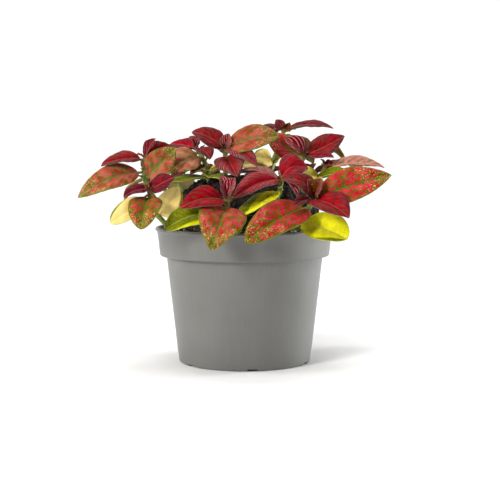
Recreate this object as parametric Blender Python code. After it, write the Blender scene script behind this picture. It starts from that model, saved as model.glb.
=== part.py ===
# A polka dot plant in a small grey nursery pot.
# The pot stands on its base at z = 0 with its axis on Z, and -Y is the side that faces the viewer.
# Lengths are in metres. MM turns the millimetre values of the layout below into metres.

import math
import random

import bmesh
import bpy
from mathutils import Matrix, Vector, noise

MM = 0.001
GAP = 0.3 * MM                    # clearance between pieces that rest in or against each other

POT_HEIGHT = 45.5 * MM
RIM_RADIUS = 30.0 * MM            # outside of the rolled lip
BAND_RADIUS_TOP = 29.4 * MM       # outside of the plain band under the lip
BAND_RADIUS_LOW = 28.5 * MM
BAND_HEIGHT = 9.5 * MM
BODY_RADIUS_TOP = 26.3 * MM       # tapered body under the band
BASE_RADIUS = 22.2 * MM
WALL = 0.9 * MM
FLOOR = 1.4 * MM
LIP_HEIGHT = 1.3 * MM
LIP_CORNER = 0.3 * MM
BAND_CORNER = 1.2 * MM            # rounding of the band's lower edge
BAND_ROOT = 0.8 * MM              # height of the fillet from the body out to the band
FOOT_ROUND = 0.9 * MM
ROUND_POINT = 0.3                 # share of a corner at which its rounding has its middle point
POT_SIDES = 40

DRAIN_COUNT = 6
DRAIN_TURN = 0.62                 # how far the first drain is turned from +X, in drain spacings
DRAIN_WIDTH = 3.2 * MM
DRAIN_DEPTH = 0.7 * MM            # of the channel under the floor
DRAIN_START = 9.0 * MM            # where a channel begins, from the axis
DRAIN_HOLE_RADIUS = 1.6 * MM
DRAIN_HOLE_PLACE = 15.5 * MM
DRAIN_HOLE_SIDES = 12

SOIL_EDGE = 44.2 * MM             # compost level along the wall of the pot
SOIL_INSET = 0.3 * MM             # the compost's top edge lies this far inside its side
MOUND_HEIGHT = 17.6 * MM
MOUND_CENTRE = Vector((0.0, 5.0 * MM))
MOUND_HALF_WIDTH = 27.5 * MM
MOUND_FRONT = 20.0 * MM
MOUND_BACK = 22.0 * MM
MOUND_POWER = 4                   # a flat top with steep sides
SOIL_RINGS = 7
SOIL_BUMP = 0.45 * MM
SOIL_BUMP_SIZE = 2.6 * MM
ROOTING_DEPTH = 5.0 * MM          # how far a stem goes down into the compost
ROOTING_PULL = 1.5                # how strongly a root turns down from the stem's own line

STEM_RADIUS_LOW = 0.95 * MM
STEM_RADIUS_TOP = 0.65 * MM
STEM_SIDES = 6
STEM_STEPS = 4
HOLE_STEPS = 6
TIP_REACH = 0.9 * MM              # growing tip of a stem, past its last leaves
BLADE_THICKNESS = 0.62 * MM
PETIOLE_HALF = 0.55 * MM
TIP_HALF = 0.35 * MM
PETIOLE_SHARE = 0.1               # part of a leaf's length that is stalk
MARGIN_WAVE = 0.35 * MM
WAVE_PHASES = (0.4, 2.6)          # least and most by which one margin's wave is ahead
LAYOUT_SEED = 11

POT_CREASE = math.radians(30)     # edges sharper than this are shaded sharp
LEAF_CREASE = math.radians(40)

# Each kind of leaf: fold of the blade along its midrib in degrees, segments along it, and how
# full its outline is towards the stalk and towards the tip (the exponents of the outline).
KINDS = {
    "bud": {"fold": 38, "segments": 4, "base": 0.7, "tip": 0.8},
    "young": {"fold": 16, "segments": 5, "base": 0.52, "tip": 0.85},
    "spotted": {"fold": 9, "segments": 6, "base": 0.55, "tip": 0.85},
    "broad": {"fold": 9, "segments": 6, "base": 0.36, "tip": 0.6},
    "heart": {"fold": 9, "segments": 6, "base": 0.36, "tip": 0.82},
    "yellow": {"fold": 14, "segments": 5, "base": 0.5, "tip": 0.55},
}

# The layout, in millimetres. A shoot has the place where its stem leaves the compost, a bend
# point that the stem leans towards, its top, the share of its height where the leafy crown
# begins, and its leaves. A leaf has its kind, the share of the stem's height where it grows,
# its tip, its width, how far it bows as a share of its length, and the way its face looks.
SHOOTS = {
    "left": {
        "foot": (-23, -2), "bend": (-35, -6, 56), "top": (-33, -6, 68.3), "crown": 0.6,
        "leaves": [
            ("bud", 1.0, (-29.5, -5, 75.2), 4.8, 0.06, (-0.6, -0.7, 0.2)),
            ("young", 0.995, (-47, -11, 66.2), 8, 0.09, (-0.1, -0.5, 0.85)),
            ("young", 0.99, (-24, 1.5, 72.3), 8, 0.14, (0.0, -0.5, 0.85)),
            ("spotted", 0.82, (-54, -16, 56), 10.5, 0.13, (-0.15, -0.8, 0.6)),
            ("spotted", 0.7, (-22.5, -10.5, 72.2), 10, 0.04, (0.35, -0.8, 0.45)),
        ],
    },
    "front_left": {
        "foot": (-22, -10), "bend": (-30, -20, 50), "top": (-30.3, -24, 59), "crown": 0.74,
        "leaves": [
            ("bud", 1.0, (-30.2, -25, 61.6), 3.5, 0.05, (0.5, -0.6, 0.5)),
            ("young", 1.0, (-38, -29, 56.8), 6.5, 0.12, (-0.2, -0.55, 0.8)),
            ("young", 0.98, (-22, -27, 63.1), 7, 0.03, (0.25, -0.75, 0.6)),
            ("broad", 0.86, (-32, -35.5, 47.2), 11, 0.13, (-0.1, -0.85, 0.5)),
            ("yellow", 0.55, (-42.3, -27, 48.5), 9, 0.26, (0.0, -0.75, 0.65)),
            ("yellow", 0.46, (-20.8, -22, 59.4), 8, 0.18, (0.2, -0.9, 0.15)),
        ],
    },
    "mid_left": {
        "foot": (-12, 0), "bend": (-12.5, 0, 67), "top": (-16, 0, 71.5), "crown": 0.45,
        "leaves": [
            ("bud", 1.0, (-18.5, -2, 75.7), 4.5, 0.08, (0.7, -0.7, 0.3)),
            ("bud", 1.0, (-14.8, -3, 74.7), 4.5, 0.08, (-0.7, -0.6, 0.3)),
            ("young", 0.97, (-26, 11, 72.8), 8, 0.06, (-0.1, -0.5, 0.85)),
            ("young", 0.97, (-11.3, -9, 68.3), 7, 0.12, (0.2, -0.5, 0.8)),
            ("spotted", 0.75, (-25.7, -5.5, 63.7), 11.5, 0.14, (-0.1, -0.75, 0.65)),
            ("young", 0.51, (-18, -9, 63.3), 3.4, 0.02, (0.0, -0.5, 0.8)),
            ("yellow", 0.15, (-23.3, -14.5, 61.2), 6.8, 0.0, (0.0, -0.27, 1.0)),
            ("yellow", 0.16, (-8.5, -10, 62), 5.5, 0.02, (0.0, -0.2, 1.0)),
        ],
    },
    "centre": {
        "foot": (-6.5, 5), "bend": (-6.5, 5, 67), "top": (-6.6, 4, 71.3), "crown": 0.4,
        "leaves": [
            ("bud", 1.0, (-5.3, 3, 76.7), 5.5, 0.05, (-0.2, -0.9, 0.3)),
            ("bud", 1.0, (-8.5, 3, 74.3), 4.5, 0.05, (0.6, -0.7, 0.3)),
            ("young", 0.97, (-18, 5, 77.2), 9.5, 0.13, (-0.1, -0.6, 0.8)),
            ("broad", 0.985, (11.3, -1, 75.8), 12.5, 0.1, (0.1, -0.7, 0.7)),
            ("young", 0.95, (4.2, -8, 66), 7.5, 0.12, (0.2, -0.7, 0.7)),
            ("young", 0.75, (-2.5, -11, 62.8), 11, 0.04, (-0.1, -0.7, 0.7)),
        ],
    },
    "back_top": {
        "foot": (8, 15), "bend": (10, 20, 68), "top": (14, 24, 78), "crown": 0.6,
        "leaves": [
            ("bud", 1.0, (10.8, 23, 81.4), 4.8, 0.05, (-0.3, -0.9, 0.2)),
            ("bud", 1.0, (15.8, 22, 80.3), 4.5, 0.05, (0.3, -0.9, 0.2)),
            ("young", 0.97, (31, 20, 78.5), 7.5, 0.09, (0.0, -0.35, 1.0)),
            ("young", 0.97, (7, 37, 73.4), 9, 0.2, (-0.1, 0.4, 0.9)),
            ("spotted", 0.8, (25, 39, 65.5), 10, 0.14, (0.1, 0.5, 0.85)),
            ("spotted", 0.8, (-6, 27, 71), 10.5, 0.18, (-0.1, 0.2, 1.0)),
            ("yellow", 0.4, (3, 15, 68.3), 7.5, 0.1, (0.0, -0.8, 0.55)),
            ("yellow", 0.3, (-2.5, 14, 65.6), 5.5, 0.08, (0.0, -0.7, 0.7)),
        ],
    },
    "mid_right": {
        "foot": (14, 6), "bend": (18, 6, 65), "top": (20.6, 4, 69.5), "crown": 0.45,
        "leaves": [
            ("bud", 1.0, (13.3, 1, 75), 7.5, 0.1, (-0.2, -0.8, 0.6)),
            ("young", 0.985, (33.8, 5, 75.9), 9.5, -0.04, (0.0, -0.75, 0.65)),
            ("young", 0.96, (29.6, -5, 69), 6, 0.0, (0.1, -0.5, 0.85)),
            ("spotted", 0.85, (7.3, 13, 76.8), 8.5, -0.04, (-0.2, -0.9, 0.3)),
            ("spotted", 0.8, (35, 15, 67), 9.5, 0.3, (0.1, 0.2, 0.95)),
        ],
    },
    "right": {
        "foot": (19, 2), "bend": (25, 2, 60), "top": (27, 1, 65), "crown": 0.84,
        "leaves": [
            ("bud", 1.0, (29, 2.5, 67.8), 3.5, 0.05, (0.5, -0.5, 0.6)),
            ("young", 0.97, (47, 1, 65.4), 9.5, 0.09, (0.0, -0.35, 0.95)),
            ("spotted", 0.9, (41, 14, 62.5), 9.5, 0.2, (0.2, 0.3, 0.9)),
            ("yellow", 0.74, (18.6, -8, 63.3), 8.5, -0.02, (0.0, -0.8, 0.6)),
            ("yellow", 0.25, (34.5, -7, 64), 5, 0.15, (0.0, -0.5, 0.85)),
        ],
    },
    "front_right": {
        "foot": (16, -12), "bend": (20, -18, 50), "top": (21.8, -22, 56), "crown": 0.63,
        "leaves": [
            ("bud", 1.0, (20.2, -24.5, 62.4), 7.4, 0.05, (0.5, -0.8, 0.2)),
            ("bud", 1.0, (24.6, -24, 62.5), 7.4, 0.05, (-0.5, -0.8, 0.2)),
            ("young", 0.98, (12.2, -23, 62.2), 8, 0.32, (-0.1, -0.6, 0.8)),
            ("young", 0.95, (32.6, -35, 50.8), 12.5, 0.1, (0.2, -0.75, 0.6)),
            ("young", 0.93, (16, -30, 54), 5.5, 0.12, (-0.2, -0.7, 0.6)),
            ("spotted", 0.88, (46.9, -23, 63.6), 12.5, 0.1, (0.0, -0.85, 0.5)),
            ("broad", 0.78, (0.6, -38.3, 43.3), 14, 0.08, (-0.15, -0.75, 0.6)),
            ("yellow", 0.36, (32.2, -32, 43.9), 12.5, 0.05, (0.1, -0.85, 0.5)),
        ],
    },
    "inner_right": {
        "foot": (10, -9), "bend": (12, -10, 57), "top": (12, -12, 62), "crown": 0.72,
        "leaves": [
            ("young", 0.98, (20.8, -13, 65.5), 11, 0.38, (-0.1, -0.75, 0.65)),
            ("young", 0.96, (-3.5, -24, 56), 10.5, 0.1, (-0.2, -0.6, 0.75)),
            ("bud", 1.0, (17, -20, 56.5), 5, 0.15, (0.3, -0.5, 0.7)),
            ("young", 0.9, (-1, -5, 64.5), 5, 0.12, (0.0, -0.35, 0.9)),
            ("yellow", 0.61, (-0.7, -28, 51.1), 9.5, 0.0, (-0.35, -0.55, 0.7)),
        ],
    },
    "front": {
        "foot": (-4, -14), "bend": (-5, -23, 48), "top": (-5.5, -26, 56), "crown": 0.66,
        "leaves": [
            ("bud", 1.0, (-7.6, -26.5, 63.4), 6.5, 0.08, (0.5, -0.8, 0.2)),
            ("bud", 1.0, (-2.9, -26.5, 62.9), 6.5, 0.08, (-0.5, -0.8, 0.2)),
            ("young", 0.97, (-20.2, -31, 53.5), 10, 0.16, (-0.1, -0.7, 0.7)),
            ("heart", 0.84, (-10.2, -40, 41), 15.5, 0.14, (0.05, -0.85, 0.5)),
            ("yellow", 0.5, (-25, -28, 46.6), 10.5, 0.2, (-0.1, -0.7, 0.7)),
            ("yellow", 0.5, (-2.2, -32, 45.5), 6, 0.2, (0.2, -0.8, 0.4)),
        ],
    },
    "back_left": {
        "foot": (-19, 19), "bend": (-23, 25, 54), "top": (-24, 27, 61), "crown": 0.6,
        "leaves": [
            ("bud", 1.0, (-25, 28, 66), 4.5, 0.05, (0.5, 0.5, 0.5)),
            ("bud", 1.0, (-21.5, 27, 65.5), 4.5, 0.05, (-0.6, -0.3, 0.5)),
            ("young", 0.97, (-36, 34, 60), 8.5, 0.24, (-0.3, 0.4, 0.85)),
            ("young", 0.97, (-13, 33, 62), 8.5, 0.22, (0.2, 0.4, 0.85)),
            ("spotted", 0.85, (-42, 19, 57), 10.5, 0.14, (-0.4, 0.0, 0.9)),
            ("spotted", 0.85, (-23, 44, 51), 11.5, 0.2, (-0.1, 0.75, 0.65)),
            ("yellow", 0.36, (-34, 26, 47), 9, 0.2, (-0.5, 0.4, 0.75)),
        ],
    },
    "back": {
        "foot": (-3, 24.5), "bend": (-3, 30, 52), "top": (-3, 33, 58), "crown": 0.64,
        "leaves": [
            ("bud", 1.0, (-5.5, 33, 63), 5, 0.08, (0.7, 0.6, 0.3)),
            ("bud", 1.0, (-1, 34, 63.5), 5, 0.08, (-0.7, 0.6, 0.3)),
            ("young", 0.97, (-14, 40, 56), 9, 0.26, (-0.2, 0.6, 0.75)),
            ("young", 0.97, (10, 39, 57), 9, 0.24, (0.2, 0.6, 0.75)),
            ("spotted", 0.84, (-5, 50, 46), 13.5, 0.2, (0.0, 0.8, 0.55)),
            ("yellow", 0.4, (8, 36, 45.5), 8.5, 0.2, (0.2, 0.7, 0.6)),
        ],
    },
    "back_right": {
        "foot": (18, 20), "bend": (22, 26, 54), "top": (23, 29, 61), "crown": 0.62,
        "leaves": [
            ("bud", 1.0, (21.5, 30, 66), 4.5, 0.05, (0.7, 0.4, 0.4)),
            ("bud", 1.0, (25.3, 29, 66), 4.5, 0.05, (-0.7, -0.2, 0.4)),
            ("young", 0.97, (13.5, 36, 63.5), 8, 0.22, (-0.2, 0.5, 0.85)),
            ("young", 0.97, (34, 33, 61), 8.5, 0.24, (0.3, 0.4, 0.85)),
            ("spotted", 0.86, (44, 23, 59), 11, 0.14, (0.3, 0.1, 0.9)),
            ("spotted", 0.82, (22, 47, 51), 12, 0.2, (0.1, 0.75, 0.65)),
            ("yellow", 0.36, (33, 33, 48), 9, 0.2, (0.4, 0.5, 0.75)),
        ],
    },
    "rear_left": {
        "foot": (-12, 15.5), "bend": (-12, 19, 60), "top": (-12.5, 20.5, 63), "crown": 0.45,
        "leaves": [
            ("bud", 1.0, (-13, 22, 66), 4, 0.05, (0.5, 0.5, 0.5)),
            ("young", 0.97, (-23, 13, 62), 8, 0.2, (-0.1, -0.1, 1.0)),
            ("young", 0.95, (0, 15.5, 63), 9, 0.16, (0.0, 0.0, 1.0)),
            ("spotted", 0.9, (-11, 8.5, 63.3), 8, 0.1, (0.0, 0.0, 1.0)),
            ("spotted", 0.85, (-11.5, 33.5, 56), 7.5, 0.16, (0.0, 0.4, 0.9)),
        ],
    },
    "rear": {
        "foot": (6, 22), "bend": (7, 25, 57), "top": (7, 26.5, 61.5), "crown": 0.5,
        "leaves": [
            ("bud", 1.0, (7, 28, 65), 4, 0.05, (0.5, 0.5, 0.5)),
            ("young", 0.97, (-4.5, 24, 61.6), 8.5, 0.14, (0.0, 0.1, 1.0)),
            ("young", 0.95, (17, 19, 62), 8, 0.2, (0.1, 0.0, 1.0)),
            ("spotted", 0.85, (13, 38, 53), 9, 0.2, (0.2, 0.6, 0.75)),
        ],
    },
    "flank_left": {
        "foot": (-22, 9), "bend": (-27, 12, 55), "top": (-29, 12.5, 60), "crown": 0.5,
        "leaves": [
            ("bud", 1.0, (-29.5, 14, 64), 4, 0.05, (0.5, 0.5, 0.5)),
            ("young", 0.95, (-33, 2.5, 60.5), 7, 0.2, (-0.2, 0.0, 1.0)),
            ("spotted", 0.85, (-42, 11, 53), 10, 0.18, (-0.4, 0.1, 0.9)),
        ],
    },
}


def clear_scene():
    for obj in list(bpy.data.objects):
        bpy.data.objects.remove(obj, do_unlink=True)


def plain_material(name, colour, roughness):
    material = bpy.data.materials.new(name)
    material.use_nodes = True
    shader = material.node_tree.nodes["Principled BSDF"]
    shader.inputs["Base Color"].default_value = (*colour, 1.0)
    shader.inputs["Roughness"].default_value = roughness
    shader.inputs["Metallic"].default_value = 0.0
    return material


def object_from(name, bm, material=None):
    mesh = bpy.data.meshes.new(name)
    bm.to_mesh(mesh)
    bm.free()
    obj = bpy.data.objects.new(name, mesh)
    if material:
        mesh.materials.append(material)
    bpy.context.scene.collection.objects.link(obj)
    return obj


def keep_largest(mesh):
    """Drop loose scraps, and fill hollows that a union has sealed."""
    bm = bmesh.new()
    bm.from_mesh(mesh)
    unseen = set(bm.verts)
    bodies = []
    while unseen:
        start = unseen.pop()
        body, front = {start}, [start]
        while front:
            vert = front.pop()
            for edge in vert.link_edges:
                other = edge.other_vert(vert)
                if other in unseen:
                    unseen.discard(other)
                    body.add(other)
                    front.append(other)
        bodies.append(body)
    bodies.sort(key=len)
    loose = [vert for body in bodies[:-1] for vert in body]
    bmesh.ops.delete(bm, geom=loose, context="VERTS")
    bm.to_mesh(mesh)
    bm.free()
    return mesh


def combine(target, others, operation, solver="EXACT"):
    """Join or cut the target with a collection of objects, and drop that collection."""
    group = bpy.data.collections.new(target.name + "_others")
    bpy.context.scene.collection.children.link(group)
    for other in others:
        bpy.context.scene.collection.objects.unlink(other)
        group.objects.link(other)
    step = target.modifiers.new(operation.lower(), "BOOLEAN")
    step.operation = operation
    step.operand_type = "COLLECTION"
    step.collection = group
    step.solver = solver
    graph = bpy.context.evaluated_depsgraph_get()
    mesh = bpy.data.meshes.new_from_object(target.evaluated_get(graph))
    target.modifiers.clear()
    target.data = keep_largest(mesh)
    for other in others:
        bpy.data.objects.remove(other, do_unlink=True)
    bpy.data.collections.remove(group)
    return target


def turned(profile, sides=POT_SIDES):
    """A body of revolution from (radius, height) points, the first and last on the axis."""
    bm = bmesh.new()
    verts = [bm.verts.new((radius, 0.0, height)) for radius, height in profile]
    edges = [bm.edges.new(pair) for pair in zip(verts, verts[1:])]
    bmesh.ops.spin(
        bm, geom=verts + edges, cent=(0, 0, 0), axis=(0, 0, 1), angle=math.tau,
        steps=sides, use_merge=True, use_duplicate=False,
    )
    bmesh.ops.remove_doubles(bm, verts=bm.verts[:], dist=0.01 * MM)
    bmesh.ops.recalc_face_normals(bm, faces=bm.faces[:])
    return bm


def body_radius(height):
    """Outside radius of the tapered body under the band."""
    share = height / (POT_HEIGHT - BAND_HEIGHT)
    return BASE_RADIUS + (BODY_RADIUS_TOP - BASE_RADIUS) * share


def pot_outside():
    """Outer wall from the middle of the underside up to the lip."""
    band_low = POT_HEIGHT - BAND_HEIGHT
    band_root = band_low - BAND_ROOT
    lip_low = POT_HEIGHT - LIP_HEIGHT
    return [
        (0.0, 0.0),
        (BASE_RADIUS - FOOT_ROUND, 0.0),
        (BASE_RADIUS - ROUND_POINT * FOOT_ROUND, ROUND_POINT * FOOT_ROUND),
        (body_radius(FOOT_ROUND), FOOT_ROUND),
        (body_radius(band_root), band_root),
        (BODY_RADIUS_TOP + BAND_ROOT / 2, band_low),
        (BAND_RADIUS_LOW - BAND_CORNER, band_low),
        (BAND_RADIUS_LOW - ROUND_POINT * BAND_CORNER, band_low + ROUND_POINT * BAND_CORNER),
        (BAND_RADIUS_LOW, band_low + BAND_CORNER),
        (BAND_RADIUS_TOP, lip_low),
        (RIM_RADIUS, lip_low + LIP_CORNER),
        (RIM_RADIUS, POT_HEIGHT - LIP_CORNER),
        (RIM_RADIUS - LIP_CORNER, POT_HEIGHT),
    ]


def pot_inside(offset=0.0):
    """Inner wall from the lip down to the floor, moved inwards by an offset."""
    shelf = POT_HEIGHT - BAND_HEIGHT + WALL
    return [
        (BAND_RADIUS_TOP - WALL - offset, POT_HEIGHT),
        (BAND_RADIUS_LOW - WALL - offset, shelf + BAND_ROOT),
        (body_radius(shelf) - WALL - offset, shelf - BAND_ROOT),
        (body_radius(FLOOR) - WALL - offset, FLOOR + offset),
        (0.0, FLOOR + offset),
    ]


def drain_cutters():
    """A radial channel under the floor with a hole through it, for each drain."""
    cutters = []
    length = RIM_RADIUS - DRAIN_START
    for index in range(DRAIN_COUNT):
        turn = Matrix.Rotation(math.tau * (index + DRAIN_TURN) / DRAIN_COUNT, 4, "Z")
        channel = bmesh.new()
        place = Matrix.Translation((DRAIN_START + length / 2, 0.0, 0.0))
        size = Matrix.Diagonal((length, DRAIN_WIDTH, 2 * DRAIN_DEPTH, 1.0))
        bmesh.ops.create_cube(channel, size=1.0, matrix=turn @ place @ size)
        cutters.append(object_from("channel", channel))
        hole = bmesh.new()
        place = Matrix.Translation((DRAIN_HOLE_PLACE, 0.0, FLOOR / 2))
        bmesh.ops.create_cone(
            hole, cap_ends=True, segments=DRAIN_HOLE_SIDES, radius1=DRAIN_HOLE_RADIUS,
            radius2=DRAIN_HOLE_RADIUS, depth=4 * FLOOR, matrix=turn @ place,
        )
        cutters.append(object_from("hole", hole))
    return cutters


def make_pot():
    material = plain_material("grey_plastic", (0.27, 0.28, 0.28), 0.5)
    pot = object_from("pot", turned(pot_outside() + pot_inside()), material)
    combine(pot, drain_cutters(), "DIFFERENCE")
    pot.data.shade_smooth()
    pot.data.set_sharp_from_angle(angle=POT_CREASE)


def soil_height(x, y):
    """Level of the compost: flat along the wall, with the old root ball standing proud."""
    depth = MOUND_FRONT if y < MOUND_CENTRE.y else MOUND_BACK
    reach = math.hypot((x - MOUND_CENTRE.x) / MOUND_HALF_WIDTH, (y - MOUND_CENTRE.y) / depth)
    rise = MOUND_HEIGHT * max(0.0, 1.0 - reach ** MOUND_POWER)
    bump = SOIL_BUMP * noise.noise(Vector((x, y, 0.0)) / SOIL_BUMP_SIZE)
    return SOIL_EDGE + rise + bump


def make_soil(stems):
    material = plain_material("compost", (0.035, 0.024, 0.018), 0.95)
    wall = pot_inside(GAP)
    top_radius = wall[0][0] - SOIL_INSET
    rings = [
        (top_radius * ring / SOIL_RINGS, SOIL_EDGE) for ring in range(SOIL_RINGS + 1)
    ]
    bm = turned(rings + wall[1:])
    side_top = wall[1][1]
    for vert in bm.verts:
        if vert.co.z > (SOIL_EDGE + side_top) / 2:
            vert.co.z = soil_height(vert.co.x, vert.co.y)
    bmesh.ops.triangulate(bm, faces=bm.faces[:])
    soil = object_from("soil", bm, material)
    combine(soil, [stem.hole() for stem in stems], "DIFFERENCE")
    soil.data.shade_smooth()


def tube(points, radii, sides):
    """A closed round tube through the points."""
    bm = bmesh.new()
    rings = []
    for index, (point, radius) in enumerate(zip(points, radii)):
        before = points[max(index - 1, 0)]
        after = points[min(index + 1, len(points) - 1)]
        turn = (after - before).to_track_quat("Z", "Y").to_matrix().to_4x4()
        ring = bmesh.ops.create_circle(
            bm, segments=sides, radius=radius, matrix=Matrix.Translation(point) @ turn
        )["verts"]
        rings.append(set(ring))
    for lower, upper in zip(rings, rings[1:]):
        loops = [edge for edge in bm.edges
                 if lower.issuperset(edge.verts) or upper.issuperset(edge.verts)]
        bmesh.ops.bridge_loops(bm, edges=loops)
    bmesh.ops.holes_fill(bm, edges=bm.edges[:], sides=sides)
    bmesh.ops.recalc_face_normals(bm, faces=bm.faces[:])
    return bm


class Stem:
    """The curved stem of one shoot, from its blind hole in the compost to its top."""

    def __init__(self, layout):
        foot_x, foot_y = (value * MM for value in layout["foot"])
        self.top = Vector(layout["top"]) * MM
        self.bend = Vector(layout["bend"]) * MM
        self.foot = Vector((foot_x, foot_y, soil_height(foot_x, foot_y)))
        into = (self.foot - self.bend).normalized() + Vector((0.0, 0.0, -ROOTING_PULL))
        self.root = self.foot + into.normalized() * ROOTING_DEPTH

    def point(self, share):
        """A place on the stem, 0 where it leaves the compost and 1 at its top."""
        if share < 0:
            return self.foot.lerp(self.root, -share)
        rest = 1.0 - share
        return self.foot * rest ** 2 + self.bend * 2 * rest * share + self.top * share ** 2

    def radius(self, share):
        return STEM_RADIUS_LOW + (STEM_RADIUS_TOP - STEM_RADIUS_LOW) * max(share, 0.0)

    def piece(self, name, start, end):
        """The stretch of stem between two shares of its height, with its root if it has one."""
        low = max(start, 0.0)
        shares = [low + (end - low) * step / STEM_STEPS for step in range(STEM_STEPS + 1)]
        if start < 0:
            shares.insert(0, start)
        points = [self.point(share) for share in shares]
        radii = [self.radius(share) for share in shares]
        if end == 1.0:
            points.append(self.top + (self.top - self.bend).normalized() * TIP_REACH)
            radii.append(STEM_RADIUS_TOP / 2)
        return object_from(name, tube(points, radii, STEM_SIDES))

    def gap_share(self):
        """The clearance between the two pieces of a stem, as a share of its height."""
        return GAP / ((self.top - self.bend).length + (self.bend - self.foot).length)

    def hole(self):
        """The plain blind hole that the stem stands in, followed up clear of the compost."""
        into = (self.root - self.foot).normalized()
        shares = [step / HOLE_STEPS for step in range(HOLE_STEPS + 1)]
        points = [self.root + into * GAP] + [self.point(share) for share in shares]
        radii = [self.radius(share) + GAP for share in [0.0] + shares]
        return object_from("stem_hole", tube(points, radii, STEM_SIDES))


def outline(share, width, kind):
    """Half the width of a leaf at a share of its length: a short stalk, then an ovate blade."""
    base, tip = KINDS[kind]["base"], KINDS[kind]["tip"]
    blade = max(0.0, (share - PETIOLE_SHARE) / (1.0 - PETIOLE_SHARE))
    peak = base / (base + tip)
    tallest = peak ** base * (1.0 - peak) ** tip
    half = width / 2 * blade ** base * (1.0 - blade) ** tip / tallest
    least = PETIOLE_HALF if share < 0.5 else TIP_HALF
    return max(half, least)


def leaf(name, base, layout, wave_phase):
    """One blade: a grid bent to the leaf's midrib, folded, waved and given its thickness."""
    kind, _, tip, width, bow, face = layout
    along = Vector(tip) * MM - base
    length = along.length
    along.normalize()
    up = Vector(face) - along * along.dot(Vector(face))
    up.normalize()
    across = up.cross(along)
    fold = math.radians(KINDS[kind]["fold"])
    segments = KINDS[kind]["segments"]
    bm = bmesh.new()
    bmesh.ops.create_grid(bm, x_segments=segments, y_segments=2, size=1.0)
    for vert in bm.verts:
        share = (vert.co.x + 1.0) / 2
        side = vert.co.y
        half = outline(share, width * MM, kind)
        slope = (along + up * bow * 4 * (1 - 2 * share)).normalized()
        normal = slope.cross(across)
        wave = MARGIN_WAVE * math.sin(3 * math.pi * share + wave_phase * side)
        wave *= side * side * 2 * half / (width * MM)
        rib = base + along * length * share + up * bow * length * 4 * share * (1 - share)
        lift = abs(side) * half * math.sin(fold) + wave
        vert.co = rib + across * side * half * math.cos(fold) + normal * lift
    bmesh.ops.triangulate(bm, faces=bm.faces[:])
    bm.normal_update()
    for vert in bm.verts:
        vert.co += vert.normal * BLADE_THICKNESS / 2
    bmesh.ops.solidify(bm, geom=bm.faces[:], thickness=BLADE_THICKNESS)
    return object_from(name, bm)


def make_shoot(name, layout, stem, draw):
    """One shoot: the green stem with its oldest leaves, and the red leafy crown above it."""
    green = plain_material("stem_green_" + name, (0.42, 0.52, 0.09), 0.5)
    red = plain_material("leaf_red_" + name, (0.5, 0.02, 0.05), 0.45)
    split = layout["crown"]
    low_parts = [stem.piece("stem_" + name, -1.0, split - stem.gap_share())]
    high_parts = [stem.piece("crown_" + name, split, 1.0)]
    for index, one in enumerate(layout["leaves"]):
        grown = leaf(f"leaf_{index}", stem.point(one[1]), one, draw.uniform(*WAVE_PHASES))
        (high_parts if one[1] > split else low_parts).append(grown)
    for parts, material in ((low_parts, green), (high_parts, red)):
        body = parts[0]
        if len(parts) > 1:
            combine(body, parts[1:], "UNION")
        body.data.materials.clear()
        body.data.materials.append(material)
        body.data.shade_smooth()
        body.data.set_sharp_from_angle(angle=LEAF_CREASE)


def make_plant():
    draw = random.Random(LAYOUT_SEED)
    stems = {name: Stem(layout) for name, layout in SHOOTS.items()}
    make_soil(stems.values())
    for name, layout in SHOOTS.items():
        make_shoot(name, layout, stems[name], draw)


clear_scene()
make_pot()
make_plant()
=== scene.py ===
# A polka dot plant in a small grey nursery pot: the finished look of each piece, built around
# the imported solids. Lengths are in metres, and MM turns millimetres into metres.
import math
import random

import bmesh
import bpy
from mathutils import Matrix, Vector, noise


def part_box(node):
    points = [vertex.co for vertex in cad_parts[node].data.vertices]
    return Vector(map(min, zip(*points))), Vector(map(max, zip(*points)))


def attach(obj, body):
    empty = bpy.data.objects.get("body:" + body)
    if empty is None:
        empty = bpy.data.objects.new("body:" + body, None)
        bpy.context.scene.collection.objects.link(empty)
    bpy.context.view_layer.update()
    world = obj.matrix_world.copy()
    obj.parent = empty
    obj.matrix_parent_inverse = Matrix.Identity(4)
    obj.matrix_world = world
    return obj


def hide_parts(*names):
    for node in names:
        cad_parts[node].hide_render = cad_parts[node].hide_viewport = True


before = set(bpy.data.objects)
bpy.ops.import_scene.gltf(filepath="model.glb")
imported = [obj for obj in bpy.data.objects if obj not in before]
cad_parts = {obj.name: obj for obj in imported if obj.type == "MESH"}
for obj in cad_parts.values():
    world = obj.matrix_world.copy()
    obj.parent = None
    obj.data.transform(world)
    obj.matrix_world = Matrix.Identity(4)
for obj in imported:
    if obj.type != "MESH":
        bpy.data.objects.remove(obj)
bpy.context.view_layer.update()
MM = 0.001

# The pot is a thin tapered cup of grey moulded plastic, with a plain straight band that stands
# out under a rounded lip. Six shallow channels cross its foot, each with a drain hole above it,
# and it stands on the ring between them.
POT_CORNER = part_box("pot")[1]
POT_HEIGHT = POT_CORNER.z
RIM_RADIUS = POT_CORNER.x
BAND_RADIUS_TOP = 29.4 * MM
BAND_RADIUS_LOW = 28.5 * MM
BAND_HEIGHT = 9.5 * MM
BODY_RADIUS_TOP = 26.3 * MM
BASE_RADIUS = 22.2 * MM
WALL = 0.9 * MM
FLOOR = 1.4 * MM
LIP_HEIGHT = 1.3 * MM
LIP_FLARE = 0.15 * MM             # how far the band spreads just under the lip
LIP_FLARE_HEIGHT = 0.25 * MM
LIP_INNER_CORNER = 0.4 * MM
BAND_ROOT = 0.4 * MM              # height of the fillet from the body out to the band
BAND_CORNER = 0.5 * MM
FOOT_CORNER = 0.8 * MM
POT_STEPS = 160
DRAIN_COUNT = 6
DRAIN_TURN = 0.62                 # how far the first drain is turned from +X, in drain spacings
DRAIN_WIDTH = 3.2 * MM
DRAIN_DEPTH = 0.7 * MM
DRAIN_START = 9.0 * MM
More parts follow.
